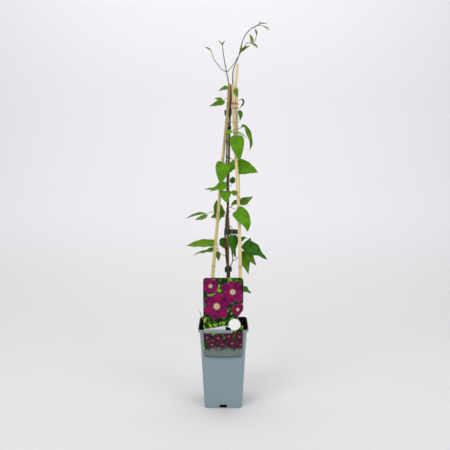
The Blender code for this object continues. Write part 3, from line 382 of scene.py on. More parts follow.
class Shape:
    """Points, faces, texture coordinates, material numbers and tones of one piece."""

    def __init__(self):
        self.points, self.faces, self.coords, self.kinds, self.tones = [], [], [], [], []

    def add(self, points, faces, coords=None, kind=0, tone=0.0):
        first = len(self.points)
        self.points.extend(points)
        self.faces.extend(tuple(first + i for i in face) for face in faces)
        self.coords.extend(coords or [(0, 0)] * len(points))
        self.kinds.extend([kind] * len(faces))
        self.tones.extend(tone if isinstance(tone, list) else [tone] * len(points))

    def build(self, name, materials):
        mesh = bpy.data.meshes.new(name)
        mesh.from_pydata([Vector(p) * MM for p in self.points], [], self.faces)
        layer = mesh.uv_layers.new(name="UVMap")
        for loop in mesh.loops:
            layer.data[loop.index].uv = self.coords[loop.vertex_index]
        tone = mesh.attributes.new("tone", "FLOAT", "POINT")
        tone.data.foreach_set("value", self.tones)
        for material in materials:
            mesh.materials.append(material)
        mesh.polygons.foreach_set("material_index", self.kinds)
        work = bmesh.new()
        work.from_mesh(mesh)
        bmesh.ops.recalc_face_normals(work, faces=work.faces)
        work.to_mesh(mesh)
        work.free()
        mesh.shade_smooth()
        mesh.set_sharp_from_angle(angle=math.radians(50))
        return new_object(name, mesh)

    def tube(self, path, radii, sides, kind=0, tone=0.0, closed=False, wobble=None):
        """Sweep a round along a path. The tone is one, or one for each place on the path."""
        directions = tangents(path, closed)
        across = Vector((0, 0, 1)) if closed else directions[0].orthogonal().normalized()
        points, faces, coords = [], [], []
        rings = len(path)
        run = 0.0
        for ring, (centre, direction, radius) in enumerate(zip(path, directions, radii)):
            if ring:
                run += (centre - path[ring - 1]).length
            across = (across - direction * across.dot(direction)).normalized()
            third = direction.cross(across)
            for side in range(sides):
                angle = 2 * math.pi * side / sides
                reach = radius + (wobble(ring / (rings - 1), angle) if wobble else 0)
                points.append(centre + reach * (math.cos(angle) * across + math.sin(angle) * third))
                coords.append((side / sides, run * MM))
        for ring in range(rings if closed else rings - 1):
            faces += strip(ring * sides, (ring + 1) % rings * sides, sides, closed=True)
        if not closed:
            faces += [tuple(range(sides)), tuple(range((rings - 1) * sides, rings * sides))]
        if isinstance(tone, list):
            tone = [value for value in tone for _ in range(sides)]
        self.add(points, faces, coords, kind, tone)

    def loft(self, rings, coords=None):
        """Join rings of equal length into one shell with both ends capped."""
        size, last = len(rings[0]), len(rings) - 1
        faces = [tuple(range(size)), tuple(range(last * size, (last + 1) * size))]
        for ring in range(last):
            faces += strip(ring * size, (ring + 1) * size, size, closed=True)
        coords = coords or [(i / size, ring / len(rings)) for ring in range(len(rings))
                            for i in range(size)]
        self.add([p for ring in rings for p in ring], faces, coords)


# Veins, as shares of the half width or the length; the leaf material paints them where they lie
SIDE_VEIN = 0.45
CROSS_VEINS = 9.0
CROSS_SLANT = 2.6
HALF_PLACES = (0.0, 0.045, 0.1, 0.2, 0.31, 0.39, SIDE_VEIN, 0.51, 0.6, 0.72, 0.84, 0.93, 1.0)
ACROSS_PLACES = tuple(-p for p in reversed(HALF_PLACES[1:])) + HALF_PLACES
BASE_ROUNDING = 0.09
ROW_PITCH = 1.3
BLADE_THICK = 0.42
SMALL_WIDTH = 9
SMALL_THICK = 0.35


def fine_blade(shape, draw, rib, width, facing, outline, lobes=0.0, kind=0):
    """A leaf blade: the part's own rows read finely, with veins, a round base and a waved edge."""
    small = width < SMALL_WIDTH
    places = ACROSS_PLACES[::3] if small else ACROSS_PLACES
    rows = max(12, min(44, int(path_length(smooth_path(rib, 20)) / ROW_PITCH)))
    path = smooth_path(rib, rows)
    seed = Vector([draw.uniform(0, 90) for _ in range(3)])
    wave = draw.uniform(0.045, 0.075) * width
    waves = draw.uniform(2.2, 3.6)
    phase = draw.uniform(0, TURN)
    tone = draw.uniform(-1, 1)
    thick = SMALL_THICK if small else BLADE_THICK
    upper, lower, high, low = [], [], [], []
    for row, (centre, along) in enumerate(zip(path, tangents(path))):
        v = row / (rows - 1)
        share = max(0.0, smooth_values(outline, v)) if row < rows - 1 else 0.0
        near = min(1.0, v / BASE_ROUNDING)
        rounding = math.sqrt(1 - (1 - near) ** 2)
        normal = Vector(facing)
        normal = (normal - along * normal.dot(along)).normalized()
        across = normal.cross(along)
        reach = share * width / 2 * (0.12 + 0.88 * rounding)
        back = lobes * width * (1 - v) ** 2 * rounding
        for place in places:
            side = abs(place)
            hand = math.copysign(1, place)
            edge = 1 + 0.05 * side * noise.noise(seed + Vector((v * 6, 3 * hand, 0)))
            spot = centre + across * (reach * place * edge) - along * (back * place * place)
            lift = 0.16 * reach * side ** 1.4
            lift += wave * share * side ** 2.5 * math.sin(waves * TURN * v + phase + 1.4 * hand)
            lift += 0.035 * width * share * noise.noise(seed + Vector((place * 1.3, v * 2.2, 5)))
            if not small:
                depth = min(0.5, 0.016 * width + 0.08) * min(1, 4 * (1 - v)) * min(1, share * 2)
                lift -= depth * math.exp(-(place / 0.06) ** 2)
                lift -= 0.55 * depth * math.exp(-((side - SIDE_VEIN) / 0.055) ** 2)
                ripple = math.sin((v * CROSS_VEINS - side * CROSS_SLANT) * TURN)
                lift += 0.22 * depth * ripple * min(1, side * 5) * (1 - side ** 4)
            spot = spot + normal * lift
            half = thick / 2 * (1 - 0.55 * side ** 4)
            upper.append(spot + normal * half)
            lower.append(spot - normal * half)
            high.append(((place + 1) / 2, v))
            low.append(((place + 1) / 2, v + 2))
    shape.add(upper + lower, two_sided(rows, len(places)), high + low, kind, tone)


def rounded_square(width, corner, height, steps):
    """A level square outline with round corners."""
    half = width / 2 - corner
    ring = []
    for quarter, (sx, sy) in enumerate(((1, 1), (-1, 1), (-1, -1), (1, -1))):
        for step in range(steps + 1):
            angle = math.radians(90 * (quarter + step / steps))
            ring.append((sx * half + corner * math.cos(angle),
                         sy * half + corner * math.sin(angle), height))
    return ring


def outward(angle):
    """The level direction at an angle."""
    return Vector((math.cos(angle), math.sin(angle), 0))


def at_height(path, height):
    """Where a fine path passes a height."""
    for a, b in zip(path, path[1:]):
        if a.z <= height <= b.z:
            return a.lerp(b, (height - a.z) / max(b.z - a.z, 1e-6))
    return path[-1] if height > path[-1].z else path[0]


def cane_radius(name, share):
    return CANE_SCALE[name] * (CANE_FOOT + (CANE_TOP - CANE_FOOT) * share) / 2


def stem_main_radius(height, reach=580):
    share = max(0.0, (height - STEM_MAIN_TURNS[0][0]) / reach)
    return STEM_MAIN_FOOT + (STEM_MAIN_TOP - STEM_MAIN_FOOT) * share


def stem_main_path(count=46):
    """The route of the main stem: round the middle cane, with its angle eased between heights."""
    cane = smooth_path(CANE_PATHS["cane_middle"], 400)
    low, high = STEM_MAIN_TURNS[0][0], STEM_MAIN_TURNS[-1][0]
    route = []
    for i in range(count):
        height = low + (high - low) * i / (count - 1)
        for (h0, a0), (h1, a1) in zip(STEM_MAIN_TURNS, STEM_MAIN_TURNS[1:]):
            if h0 <= height <= h1:
                t = (height - h0) / (h1 - h0)
                angle = math.radians(a0 + (a1 - a0) * t * t * (3 - 2 * t))
        middle = at_height(cane, height)
        off = (cane_radius("cane_middle", height / cane[-1].z) + stem_main_radius(height)
               + STEM_MAIN_STAND_OFF)
        route.append(middle + Vector((off * math.cos(angle), off * math.sin(angle), 0)))
    return route


def rod_at(name, height):
    """Centre and radius of a cane or stem at a height."""
    if name == "stem_main":
        spot = at_height(stem_main_path(), height)
        return spot.x, spot.y, stem_main_radius(height)
    if name == "stem_second":
        spot = at_height(smooth_path(STEM_SECOND_PATH, 200), height)
        return spot.x, spot.y, STEM_SECOND_RADIUS
    path = smooth_path(CANE_PATHS[name], 300)
    spot = at_height(path, height)
    return spot.x, spot.y, cane_radius(name, height / path[-1].z)


def loop_round(names, height, margin, count):
    """A taut loop round rods: in each direction, the point of the rod that reaches furthest."""
    rods = [rod_at(name, height) for name in names]
    loop = []
    for i in range(count):
        angle = 2 * math.pi * i / count
        dx, dy = math.cos(angle), math.sin(angle)
        x, y, r = max(rods, key=lambda rod: rod[0] * dx + rod[1] * dy + rod[2])
        loop.append(Vector((x + dx * (r + margin), y + dy * (r + margin), height)))
    return loop


def stem_side(stem, height, towards):
    """A point on a stem, on the side that faces another point."""
    x, y, radius = rod_at(stem, height)
    if height >= STEM_TOP:
        return Vector((x, y, height - 1))
    out = Vector((towards[0] - x, towards[1] - y, 0)).normalized()
    return Vector((x, y, height)) + out * (radius * 0.5)


class Graph:
    """A new material, and short ways to write its nodes."""

    def __init__(self, name):
        self.material = bpy.data.materials.new(name)
        self.material.use_nodes = True
        self.tree = self.material.node_tree
        self.shader = self.tree.nodes["Principled BSDF"].inputs

    def node(self, kind, **settings):
        made = self.tree.nodes.new(kind)
        for key, value in settings.items():
            setattr(made, key, value)
        return made

    def feed(self, socket, value):
        """Link a socket to another, or set its value."""
        if isinstance(value, bpy.types.NodeSocket):
            self.tree.links.new(value, socket)
        elif hasattr(socket.default_value, "__len__") and not isinstance(value, (int, float)):
            size = len(socket.default_value)
            socket.default_value = (*value, 1.0)[:size] if len(value) < size else value
        else:
            socket.default_value = value

    def math(self, operation, a, b=0.0, c=0.0):
        made = self.node("ShaderNodeMath", operation=operation)
        for socket, value in zip(made.inputs, (a, b, c)):
            self.feed(socket, value)
        return made.outputs[0]

    def spread(self, value, low, high):
        """0 below low and 1 above high; the other way round where low is the larger."""
        made = self.node("ShaderNodeMapRange", clamp=True, interpolation_type="SMOOTHSTEP")
        flip = low > high
        self.feed(made.inputs["Value"], value)
        made.inputs["From Min"].default_value = min(low, high)
        made.inputs["From Max"].default_value = max(low, high)
        made.inputs["To Min"].default_value = 1.0 if flip else 0.0
        made.inputs["To Max"].default_value = 0.0 if flip else 1.0
        return made.outputs[0]

    def mix(self, share, a, b):
        """From colour a to colour b, the node's sockets 6 and 7; its socket 2 gives the colour."""
        made = self.node("ShaderNodeMix", data_type="RGBA")
        self.feed(made.inputs["Factor"], share)
        self.feed(made.inputs[6], a)
        self.feed(made.inputs[7], b)
        return made.outputs[2]

    def lay(self, colour, share, amount, top):
        """Lay a colour over another, by an amount of a share."""
        return self.mix(self.math("MULTIPLY", share, amount), colour, top)

    def place(self, scale=(1, 1, 1)):
        """Coordinates stretched along each axis."""
        made = self.node("ShaderNodeMapping")
        self.feed(made.inputs["Vector"], self.node("ShaderNodeTexCoord").outputs["Object"])
        made.inputs["Scale"].default_value = scale
        return made.outputs[0]

    def noise(self, vector, scale, detail=3.0, rough=0.55, distortion=0.0):
        made = self.node("ShaderNodeTexNoise")
        self.feed(made.inputs["Vector"], vector)
        for name, value in (("Scale", scale), ("Detail", detail), ("Roughness", rough),
                            ("Distortion", distortion)):
            made.inputs[name].default_value = value
        return made.outputs[0]

    def streaks(self, scale, *looks):
        """A noise stretched along the axes."""
        return self.noise(self.place(scale), 1.0, *looks)

    def cells(self, vector, scale, feature="F1"):
        made = self.node("ShaderNodeTexVoronoi", feature=feature)
        self.feed(made.inputs["Vector"], vector)
        made.inputs["Scale"].default_value = scale
        return made.outputs[0]

    def attribute(self, name):
        return self.node("ShaderNodeAttribute", attribute_name=name).outputs["Fac"]

    def split(self, vector):
        """The three values of a vector."""
        made = self.node("ShaderNodeSeparateXYZ")
        self.feed(made.inputs[0], vector)
        return list(made.outputs)

    def surface(self, colour, rough, relief, depth, strength, specular=0.5):
        """Set the colour, the roughness, the relief and its depth, and the shine."""
        bump = self.node("ShaderNodeBump")
        self.feed(bump.inputs["Height"], relief)
        bump.inputs["Distance"].default_value = depth
        bump.inputs["Strength"].default_value = strength
        self.feed(self.shader["Base Color"], colour)
        self.feed(self.shader["Roughness"], rough)
        self.feed(self.shader["Normal"], bump.outputs[0])
        self.shader["Specular IOR Level"].default_value = specular
        return self.material


# How deep light goes into leaves and stalks, in metres
SOFT_DEPTH = 0.001


def leaf_material(name, deep, main, light, vein):
    """A blade: mottled green, paler veins that follow the outline, a lighter underside."""
    g = Graph(name)
    u, v, _ = g.split(g.node("ShaderNodeTexCoord").outputs["UV"])
    under = g.math("GREATER_THAN", v, 1.5)
    along = g.math("SUBTRACT", v, g.math("MULTIPLY", under, 2.0))
    side = g.math("ABSOLUTE", g.math("MULTIPLY_ADD", u, 2.0, -1.0))
    tone = g.attribute("tone")
    place = g.place()
    cloud = g.noise(place, 60.0, 4.0)
    fine = g.noise(place, 420.0)
    mottle = g.math("ADD", cloud, g.math("MULTIPLY", tone, 0.07))
    colour = g.mix(g.spread(mottle, 0.36, 0.66), deep, main)
    colour = g.lay(colour, g.spread(fine, 0.45, 0.8), 0.45, light)
    colour = g.lay(colour, g.spread(g.math("ADD", tone, along), 0.2, 1.7), 0.35, light)
    rib = g.spread(side, 0.055, 0.0)
    off_vein = g.math("ABSOLUTE", g.math("SUBTRACT", side, SIDE_VEIN))
    long_vein = g.math("MULTIPLY", g.spread(off_vein, 0.05, 0.0), 0.7)
    slant = g.math("SUBTRACT", g.math("MULTIPLY", along, CROSS_VEINS),
                   g.math("MULTIPLY", side, CROSS_SLANT))
    slant = g.math("ADD", slant, g.math("MULTIPLY", cloud, 0.7))
    cross_way = g.math("PINGPONG", slant, 0.5)
    cross = g.math("MULTIPLY", g.spread(cross_way, 0.06, 0.0), 0.5)
    net = g.cells(place, 900.0, "DISTANCE_TO_EDGE")
    net_line = g.math("MULTIPLY", g.spread(net, 0.12, 0.0), 0.22)
    veins = g.math("MAXIMUM", g.math("MAXIMUM", rib, long_vein), g.math("MAXIMUM", cross, net_line))
    # Painted shade: the blade is laid darker, towards deep, in the creases along the cross veins
    # and towards its rim; the puffed parts between the creases stay clear of it.
    clear_of_crease_shade = g.math("MULTIPLY", g.spread(cross_way, 0.12, 0.42), g.spread(side, 1.0, 0.3))
    colour = g.mix(g.math("MULTIPLY_ADD", clear_of_crease_shade, -0.35, 0.35), colour, deep)
    colour = g.lay(colour, veins, 0.45, vein)
    colour = g.lay(colour, g.spread(side, 0.86, 1.0), 0.3, deep)
    underside = [0.6 * a + 0.4 * b for a, b in zip(main, (0.16, 0.26, 0.03))]
    colour = g.lay(colour, under, 0.42, underside)
    g.shader["Subsurface Weight"].default_value = 0.12
    g.shader["Subsurface Radius"].default_value = (0.6, 1.0, 0.2)
    g.shader["Subsurface Scale"].default_value = SOFT_DEPTH
    relief = g.math("SUBTRACT", g.math("MULTIPLY", fine, 0.4), veins)
    return g.surface(colour, g.math("MULTIPLY_ADD", fine, 0.22, 0.32), relief, 0.00022, 0.5, 0.14)


def stalk_material(name, main, dark, tip, rough=0.55):
    """A soft green or purplish stalk, streaked along its length."""
    g = Graph(name)
    streak = g.streaks((900, 900, 60), 4.0)
    colour = g.mix(g.spread(g.noise(g.place(), 45.0), 0.35, 0.65), main, tip)
    colour = g.lay(colour, g.spread(streak, 0.5, 0.72), 0.6, dark)
    g.shader["Subsurface Weight"].default_value = 0.1
    g.shader["Subsurface Scale"].default_value = SOFT_DEPTH
    return g.surface(colour, rough, streak, 0.0001, 0.6)


def bamboo_material(name, straw, brown, stain, stain_level, top_darkening):
    """Cane skin: long fibres, dark joints, blotches of weathering, and a top that grows darker."""
    g = Graph(name)
    fibre = g.streaks((1500, 1500, 26), 5.0)
    broad = g.streaks((260, 260, 12))
    blotch = g.streaks((160, 160, 46), 4.0, 0.6, 0.4)
    speck = g.streaks((900, 900, 420), 2.0)
    colour = g.mix(g.spread(broad, 0.3, 0.7), straw, brown)
    colour = g.lay(colour, g.spread(fibre, 0.46, 0.7), 0.42, brown)
    colour = g.lay(colour, g.spread(blotch, stain_level, stain_level + 0.12), 0.75, stain)
    colour = g.lay(colour, g.spread(speck, 0.68, 0.76), 0.5, stain)
    colour = g.lay(colour, g.attribute("tone"), 0.75, stain)
    # Above about 0.6 m the skin is laid darker, towards the stain colour, by a share that each cane
    # sets
    top_height = g.math("ADD", g.split(g.place())[2], g.math("MULTIPLY", broad, 0.12))
    colour = g.lay(colour, g.spread(top_height, 0.60, 0.70), top_darkening, stain)
    relief = g.math("ADD", fibre, g.math("MULTIPLY", blotch, 0.5))
    return g.surface(colour, g.math("MULTIPLY_ADD", fibre, 0.3, 0.34), relief, 0.0002, 0.7, 0.25)


def bark_material():
    """Bark: brown, with pale split strips and dark nodes."""
    g = Graph("fine_bark")
    strips = g.streaks((1300, 1300, 90), 5.0, 0.65)
    patch = g.streaks((300, 300, 60))
    colour = g.mix(g.spread(patch, 0.35, 0.65), (0.042, 0.020, 0.009), (0.120, 0.066, 0.030))
    colour = g.lay(colour, g.spread(strips, 0.52, 0.7), 0.6, (0.25, 0.165, 0.085))
    colour = g.lay(colour, g.attribute("tone"), 0.5, (0.030, 0.014, 0.007))
    return g.surface(colour, 0.82, strips, 0.0005, 0.8, 0.15)


def pot_material():
    """Moulded blue-grey polypropylene: satin, with faint flow marks and scuffs."""
    g = Graph("fine_pot_plastic")
    place = g.place()
    cloud = g.noise(place, 14.0)
    flow = g.streaks((160, 160, 9), 4.0)
    grain = g.noise(place, 2600.0, 2.0)
    scuff = g.streaks((60, 60, 420), 5.0, 0.7)
    colour = g.mix(cloud, (0.225, 0.310, 0.345), (0.262, 0.352, 0.385))
    colour = g.lay(colour, g.spread(flow, 0.5, 0.75), 0.25, (0.30, 0.39, 0.42))
    colour = g.lay(colour, g.spread(scuff, 0.66, 0.8), 0.25, (0.36, 0.44, 0.46))
    relief = g.math("ADD", g.math("MULTIPLY", grain, 0.6), flow)
    return g.surface(colour, g.math("MULTIPLY_ADD", cloud, 0.14, 0.36), relief, 0.00012, 0.35, 0.45)


def peat_material():
    """Damp dark peat with painted shade, nearly black; lighter patches and a few pale flecks."""
    g = Graph("fine_peat")
    place = g.place()
    crumbs = g.noise(place, 500.0, 6.0, 0.7)
    # The peat's colours are set near black: dark peat, and painted shade for the inside of the pot.
    colour = g.mix(g.spread(crumbs, 0.35, 0.7), (0.0022, 0.0018, 0.0015), (0.012, 0.009, 0.007))
    colour = g.lay(colour, g.spread(g.noise(place, 60.0), 0.5, 0.8), 0.35, (0.018, 0.012, 0.008))
    colour = g.lay(colour, g.spread(g.cells(place, 700.0), 0.1, 0.03), 0.4, (0.10, 0.07, 0.04))
    return g.surface(colour, 0.96, crumbs, 0.0012, 0.9, 0.0)


def tie_material(name, main, dark, rough, along):
    """A tie: slight wear and fine lines that run round it."""
    g = Graph(name)
    wear = g.noise(g.place(), 260.0, 4.0)
    colour = g.mix(g.spread(wear, 0.35, 0.7), main, dark)
    return g.surface(colour, g.math("MULTIPLY_ADD", wear, 0.2, rough - 0.1), g.streaks(along),
                     0.0002, 0.6)


def label_material():
    """Glossy print where ink is laid, bare paper on the back, the cut edges and the tongue."""
    g = Graph("fine_card_print")
    ink = g.node("ShaderNodeAttribute", attribute_name="print")
    grain = g.noise(g.place(), 900.0)
    paper = g.mix(grain, (0.62, 0.65, 0.64), (0.76, 0.77, 0.74))
    printed = g.spread(ink.outputs["Alpha"], 0.80, 0.98)
    return g.surface(g.mix(printed, paper, ink.outputs["Color"]),
                     g.math("MULTIPLY_ADD", printed, -0.30, 0.66), grain, 0.00005, 0.3, 0.12)


def backdrop_material():
    """Pale paper that grows lighter with height: painted light, the floor laid darker than the
    sweep.
    """
    g = Graph("backdrop_paper")
    height = g.split(g.place())[2]
    # Painted light: the same paper is laid darker on the floor and lighter up the sweep.
    paper = g.mix(g.spread(height, 0.0, 0.35), (0.760, 0.748, 0.745), (0.850, 0.835, 0.862))
    g.feed(g.shader["Base Color"], g.lay(paper, g.noise(g.place(), 1.3, 2.0), 0.3,
                                         (0.830, 0.815, 0.825)))
    g.shader["Roughness"].default_value = 0.85
    g.shader["Specular IOR Level"].default_value = 0.1
    return g.material


# The card's print: the step of its grid, and the leaves from the deepest layer up, with how
# many, their length, dark ink and light ink
PRINT_STEP = 0.5
PRINT_LEAVES = [
    (260, (6, 12), (0.002, 0.010, 0.002), (0.015, 0.070, 0.005)),
    (150, (6, 12), (0.006, 0.035, 0.003), (0.065, 0.21, 0.010)),
    (80, (7, 14), (0.035, 0.15, 0.006), (0.34, 0.55, 0.05)),
]
# Printed blooms: place, radius, petals, turn
FLAP_BLOOMS = [(-35, 164, 11, 6, 0.3), (35, 166, 11, 6, 0.8), (-11, 163, 11, 8, 0.1),
               (12, 167, 10, 6, 0.4), (19, 151, 12, 8, 0.5), (-24, 148, 11, 8, 0.2),
               (-2, 149, 10, 6, 0.6), (38, 148, 10, 6, 0.1)]
PANEL_BLOOMS = [(-27, 277, 19, 6, 0.5), (31, 226, 15, 6, 0.15), (20, 264, 27, 8, 0.1),
                (-14, 233, 31, 6, 0.33)]
CRIMSON = np.array((0.30, 0.002, 0.075))
PLUM = np.array((0.050, 0.0, 0.060))
PINK = np.array((0.36, 0.10, 0.25))
STAMEN_EDGE = np.array((0.34, 0.20, 0.13))
STAMEN = np.array((0.72, 0.60, 0.38))
STAMEN_HEART = np.array((0.30, 0.34, 0.10))


class Ink:
    """A print kept as a colour at each point (x, z): every motif is laid over the last."""

    def __init__(self, x, z):
        self.x, self.z = x, z
        self.rough = self.clouds(0.8, 3)
        self.cloud = self.clouds(0.11, 9)
        self.colour = np.zeros((len(x), 3))

    def clouds(self, scale, seed):
        """Noise at each point."""
        return np.array([noise.noise(Vector((x * scale, z * scale, seed)))
                         for x, z in zip(self.x, self.z)])

    def wash(self, share, colour, here=slice(None)):
        """Lay a colour over the points named by here, each by its share."""
        share = np.clip(share, 0, 1)[:, None]
        self.colour[here] += (np.asarray(colour) - self.colour[here]) * share

    def blade(self, place, turn, length, width, dark, light, petal=False):
        """A leaf, or a petal with a bright bar, that grows from a place."""
        dx, dz = self.x - place[0], self.z - place[1]
        here = np.nonzero(dx * dx + dz * dz < (1.2 * length) ** 2)[0]
        dx, dz = dx[here], dz[here]
        along = (dx * math.cos(turn) + dz * math.sin(turn)) / length
        across = dz * math.cos(turn) - dx * math.sin(turn)
        across += 0.12 * math.sin(turn * 7) * length * along ** 2
        inner = np.clip(along, 0.002, 0.998)
        wave = 1 + 0.05 * np.sin(along * 17 + turn * 5) + 0.08 * self.rough[here]
        half = width * np.sin(math.pi * inner ** (1.25 if petal else 0.9)) ** 0.7 * wave
        ends = np.minimum(along, 1 - along) * length
        inside = np.minimum(half - np.abs(across), ends)
        side = across / half
        self.wash(0.6 * (inside + 1.4) / 1.8, dark * 0.25, here)
        mask = np.clip(0.5 + inside / 0.5, 0, 1)
        fine = self.rough[here]
        if petal:
            level = 0.75 - 0.65 * np.abs(side) ** 1.6
            level += 0.35 * np.sin(side * 15 + fine * 3) * side ** 2
            level += 0.25 * np.sin(along * 5 + turn * 3) + 0.35 * fine
        else:
            ribs = np.abs((along * 5 - np.abs(side) * 0.9) % 1 - 0.5)
            level = 0.45 + 0.35 * np.tanh(side * 2.5 * math.sin(turn * 11)) + 0.3 * fine
            level += 0.5 * (ribs < 0.07) + 0.7 * np.exp(-(side / 0.1) ** 2)
            level -= 0.4 * np.abs(side) ** 3
        level = np.clip(level, 0, 1.2)[:, None]
        self.wash(mask, dark + (light - dark) * level, here)
        if petal:
            rim = np.clip((inside < 0.75) * (0.5 + 0.9 * np.sin(along * 4 + turn * 2)), 0, 0.8)
            self.wash(mask * rim * (along > 0.3), PINK * (light[0] / CRIMSON[0]), here)

    def bloom(self, x, z, radius, petals, turn, shade=1.0, brush=1.0):
        """Two rounds of pointed petals about a brush of cream stamens."""
        draw = random.Random(f"{x}{z}")
        slim = 0.40 if petals == 6 else 0.31
        for i in (*range(0, petals, 2), *range(1, petals, 2)):
            angle = turn + 2 * math.pi * i / petals + draw.uniform(-0.09, 0.09)
            length = radius * draw.uniform(0.9, 1.04)
            self.blade((x, z), angle, length, radius * slim,
                       PLUM * shade, CRIMSON * shade, petal=True)
        dx, dz = self.x - x, self.z - z
        angle = np.arctan2(dz, dx)
        reach = np.hypot(dx, dz) / radius * (1 + 0.16 * np.sin(angle * 17) + 0.25 * self.rough)
        self.wash((0.25 - reach) / 0.04, STAMEN_EDGE * shade * brush)
        rays = 0.55 + 0.45 * np.sin(angle * 23 + 5 * self.rough)
        self.wash((0.22 - reach) / 0.04 * rays, STAMEN * shade * brush)
        self.wash((0.08 - reach) / 0.03, STAMEN_HEART * shade * brush)


def print_label(x, z):
    """A generic clematis in bloom among leaves, a bare badge and a band that fades out."""
    ink = Ink(x, z)
    ink.wash(np.ones(len(x)), (0.002, 0.012, 0.002))
    ink.wash(0.5 + 2 * ink.cloud, (0.008, 0.045, 0.004))
    draw = random.Random(21)
    for count, (low, high), dark, light in PRINT_LEAVES:
        for _ in range(count):
            length = draw.uniform(low, high)
            place = (draw.uniform(-LABEL_HALF - 4, LABEL_HALF + 4),
                     draw.uniform(135, LABEL_TOP + 4))
            tint = draw.uniform(0.65, 1.25)
            warm = (tint * draw.uniform(0.8, 1.3), tint, tint)
            ink.blade(place, draw.uniform(0, 2 * math.pi), length, length * draw.uniform(0.2, 0.36),
                      np.asarray(dark) * warm, np.asarray(light) * warm)
    for bloom in FLAP_BLOOMS:
        ink.bloom(*bloom, shade=0.42, brush=0.7)
    for bloom in PANEL_BLOOMS:
        ink.bloom(*bloom)
    fade = (144 + 6 * ink.cloud + 2 * ink.rough - z) / 11
    ink.wash(fade, (0.165, 0.200, 0.200))
    rise = z - np.interp(x, *zip(*LABEL_FOOT))
    ink.wash((5.5 - rise) / 3.5, (0.12, 0.16, 0.15))
    # Painted shadow: the last two millimetres above the card's foot are darkened, for the shade
    # along the flap's bottom edge.
    ink.wash((2 - rise) / 1.4, (0.035, 0.065, 0.055))
    away = np.hypot(x - BADGE_CENTRE[0], z - BADGE_CENTRE[1])
    ink.wash((BADGE_RADIUS + 0.9 - away) / 1.2 * 0.5, (0.02, 0.05, 0.02))
    ink.wash((BADGE_RADIUS - 0.1 - away) / 0.5, (0.92, 0.92, 0.86))
    ring = 1 - np.abs(away - BADGE_RADIUS + 1.7) / 0.45
    ink.wash(0.3 * ring, (0.50, 0.58, 0.42))
    return ink.colour


def arc(centre, radius, first, last, steps):
    """Points of an arc in the label's plane, between two angles in degrees."""
    angles = [math.radians(first + (last - first) * i / steps) for i in range(steps + 1)]
    return [(centre[0] + radius * math.cos(a), centre[1] + radius * math.sin(a)) for a in angles]


def label_outline():
    """The card's edge: rounded at the top, cut in to the badge and to the flap."""
    half, corner = LABEL_HALF, LABEL_CORNER
    high = LABEL_TOP - corner
    outline = LABEL_FOOT + [(half - 0.6, 180), (half - 0.8, 190.5), (39, 189.5)]
    outline += arc(BADGE_CENTRE, BADGE_RADIUS, -32, 62, 24)
    outline += [(31, 209), (half - 0.4, 225)]
    outline += arc((half - corner, high), corner, 0, 90, 14)
    return outline + arc((corner - half, high), corner, 90, 180, 14)


def inside_of(outline, x, z):
    """Whether each point lies in a closed outline."""
    odd = np.zeros(len(x), bool)
    for (ax, az), (bx, bz) in zip(outline, outline[1:] + outline[:1]):
        if az != bz:
            odd ^= ((az > z) != (bz > z)) & (x < ax + (bx - ax) * (z - az) / (bz - az))
    return odd


def nearest_on(path, point):
    """How far the nearest point of a path lies, and where."""
    best = []
    for a, b in zip(path, path[1:]):
        a, b = Vector(a), Vector(b)
        share = min(1, max(0, (point - a).dot(b - a) / (b - a).length_squared))
        spot = a + (b - a) * share
        best.append(((spot - point).length, spot.x, spot.y))
    return min(best)


def add_tongue(work):
    """The card's tongue, which bends in over the rim and tucks behind it."""
    lap, bend, thick = LABEL_FRONT + 0.75 * LABEL_THICK, COLLAR_WIDTH / 2 - 2.1, LABEL_THICK
    profile = [(lap, 196), (lap, 184.4), (lap + 0.15, 183.3), (lap + 0.5, 182.7),
               (-bend - 0.9, 181.35), (-bend - 0.3, 181), (-bend, 180.5), (-bend, TONGUE_TIP),
               (-bend + thick, TONGUE_TIP), (-bend + thick, 180.9), (-bend + 0.2, 181.6),
               (-bend - 0.5, 181.95), (lap + thick + 0.4, 183.4), (lap + thick + 0.1, 183.9),
               (lap + thick, 184.6), (lap + thick, 196)]
    steps = 14
    width = TONGUE_RIGHT - TONGUE_LEFT
    rings = [[work.verts.new((TONGUE_LEFT + width * i / steps, y, z)) for y, z in profile]
             for i in range(steps + 1)]
    work.faces.new(rings[0])
    work.faces.new(rings[-1])
    for near, far in zip(rings, rings[1:]):
        for i in range(len(profile)):
            work.faces.new((near[i - 1], near[i], far[i], far[i - 1]))


def printed_sheet(work):
    """The card's front: a fine grid of faces whose rim is moved on to the outline and the slot."""
    outline = label_outline()
    xs = np.arange(-LABEL_HALF, LABEL_HALF + PRINT_STEP / 2, PRINT_STEP)
    lowest = min(place[1] for place in LABEL_FOOT)
    zs = np.arange(lowest, LABEL_TOP + PRINT_STEP / 2, PRINT_STEP)
    x, z = (grid.ravel() for grid in np.meshgrid(xs, zs))
    corner = np.arange(len(x)).reshape(len(zs), len(xs))
    cells = np.stack([corner[:-1, :-1], corner[:-1, 1:], corner[1:, 1:], corner[1:, :-1]], -1)
    cells = cells.reshape(-1, 4)
    middle = x[cells].mean(1), z[cells].mean(1)
    cells = cells[inside_of(outline, *middle) & ~inside_of(LABEL_SLOT, *middle)]
    uses = np.bincount(cells.ravel(), minlength=len(x))
    for i in np.nonzero((uses > 0) & (uses < 4))[0]:
        point = Vector((x[i], z[i]))
        _, x[i], z[i] = min(nearest_on(edge + edge[:1], point) for edge in (outline, LABEL_SLOT))
    verts = {i: work.verts.new((x[i], LABEL_FRONT, z[i])) for i in np.nonzero(uses)[0]}
    for cell in cells:
        work.faces.new([verts[i] for i in cell])
    bmesh.ops.remove_doubles(work, verts=work.verts, dist=0.02)


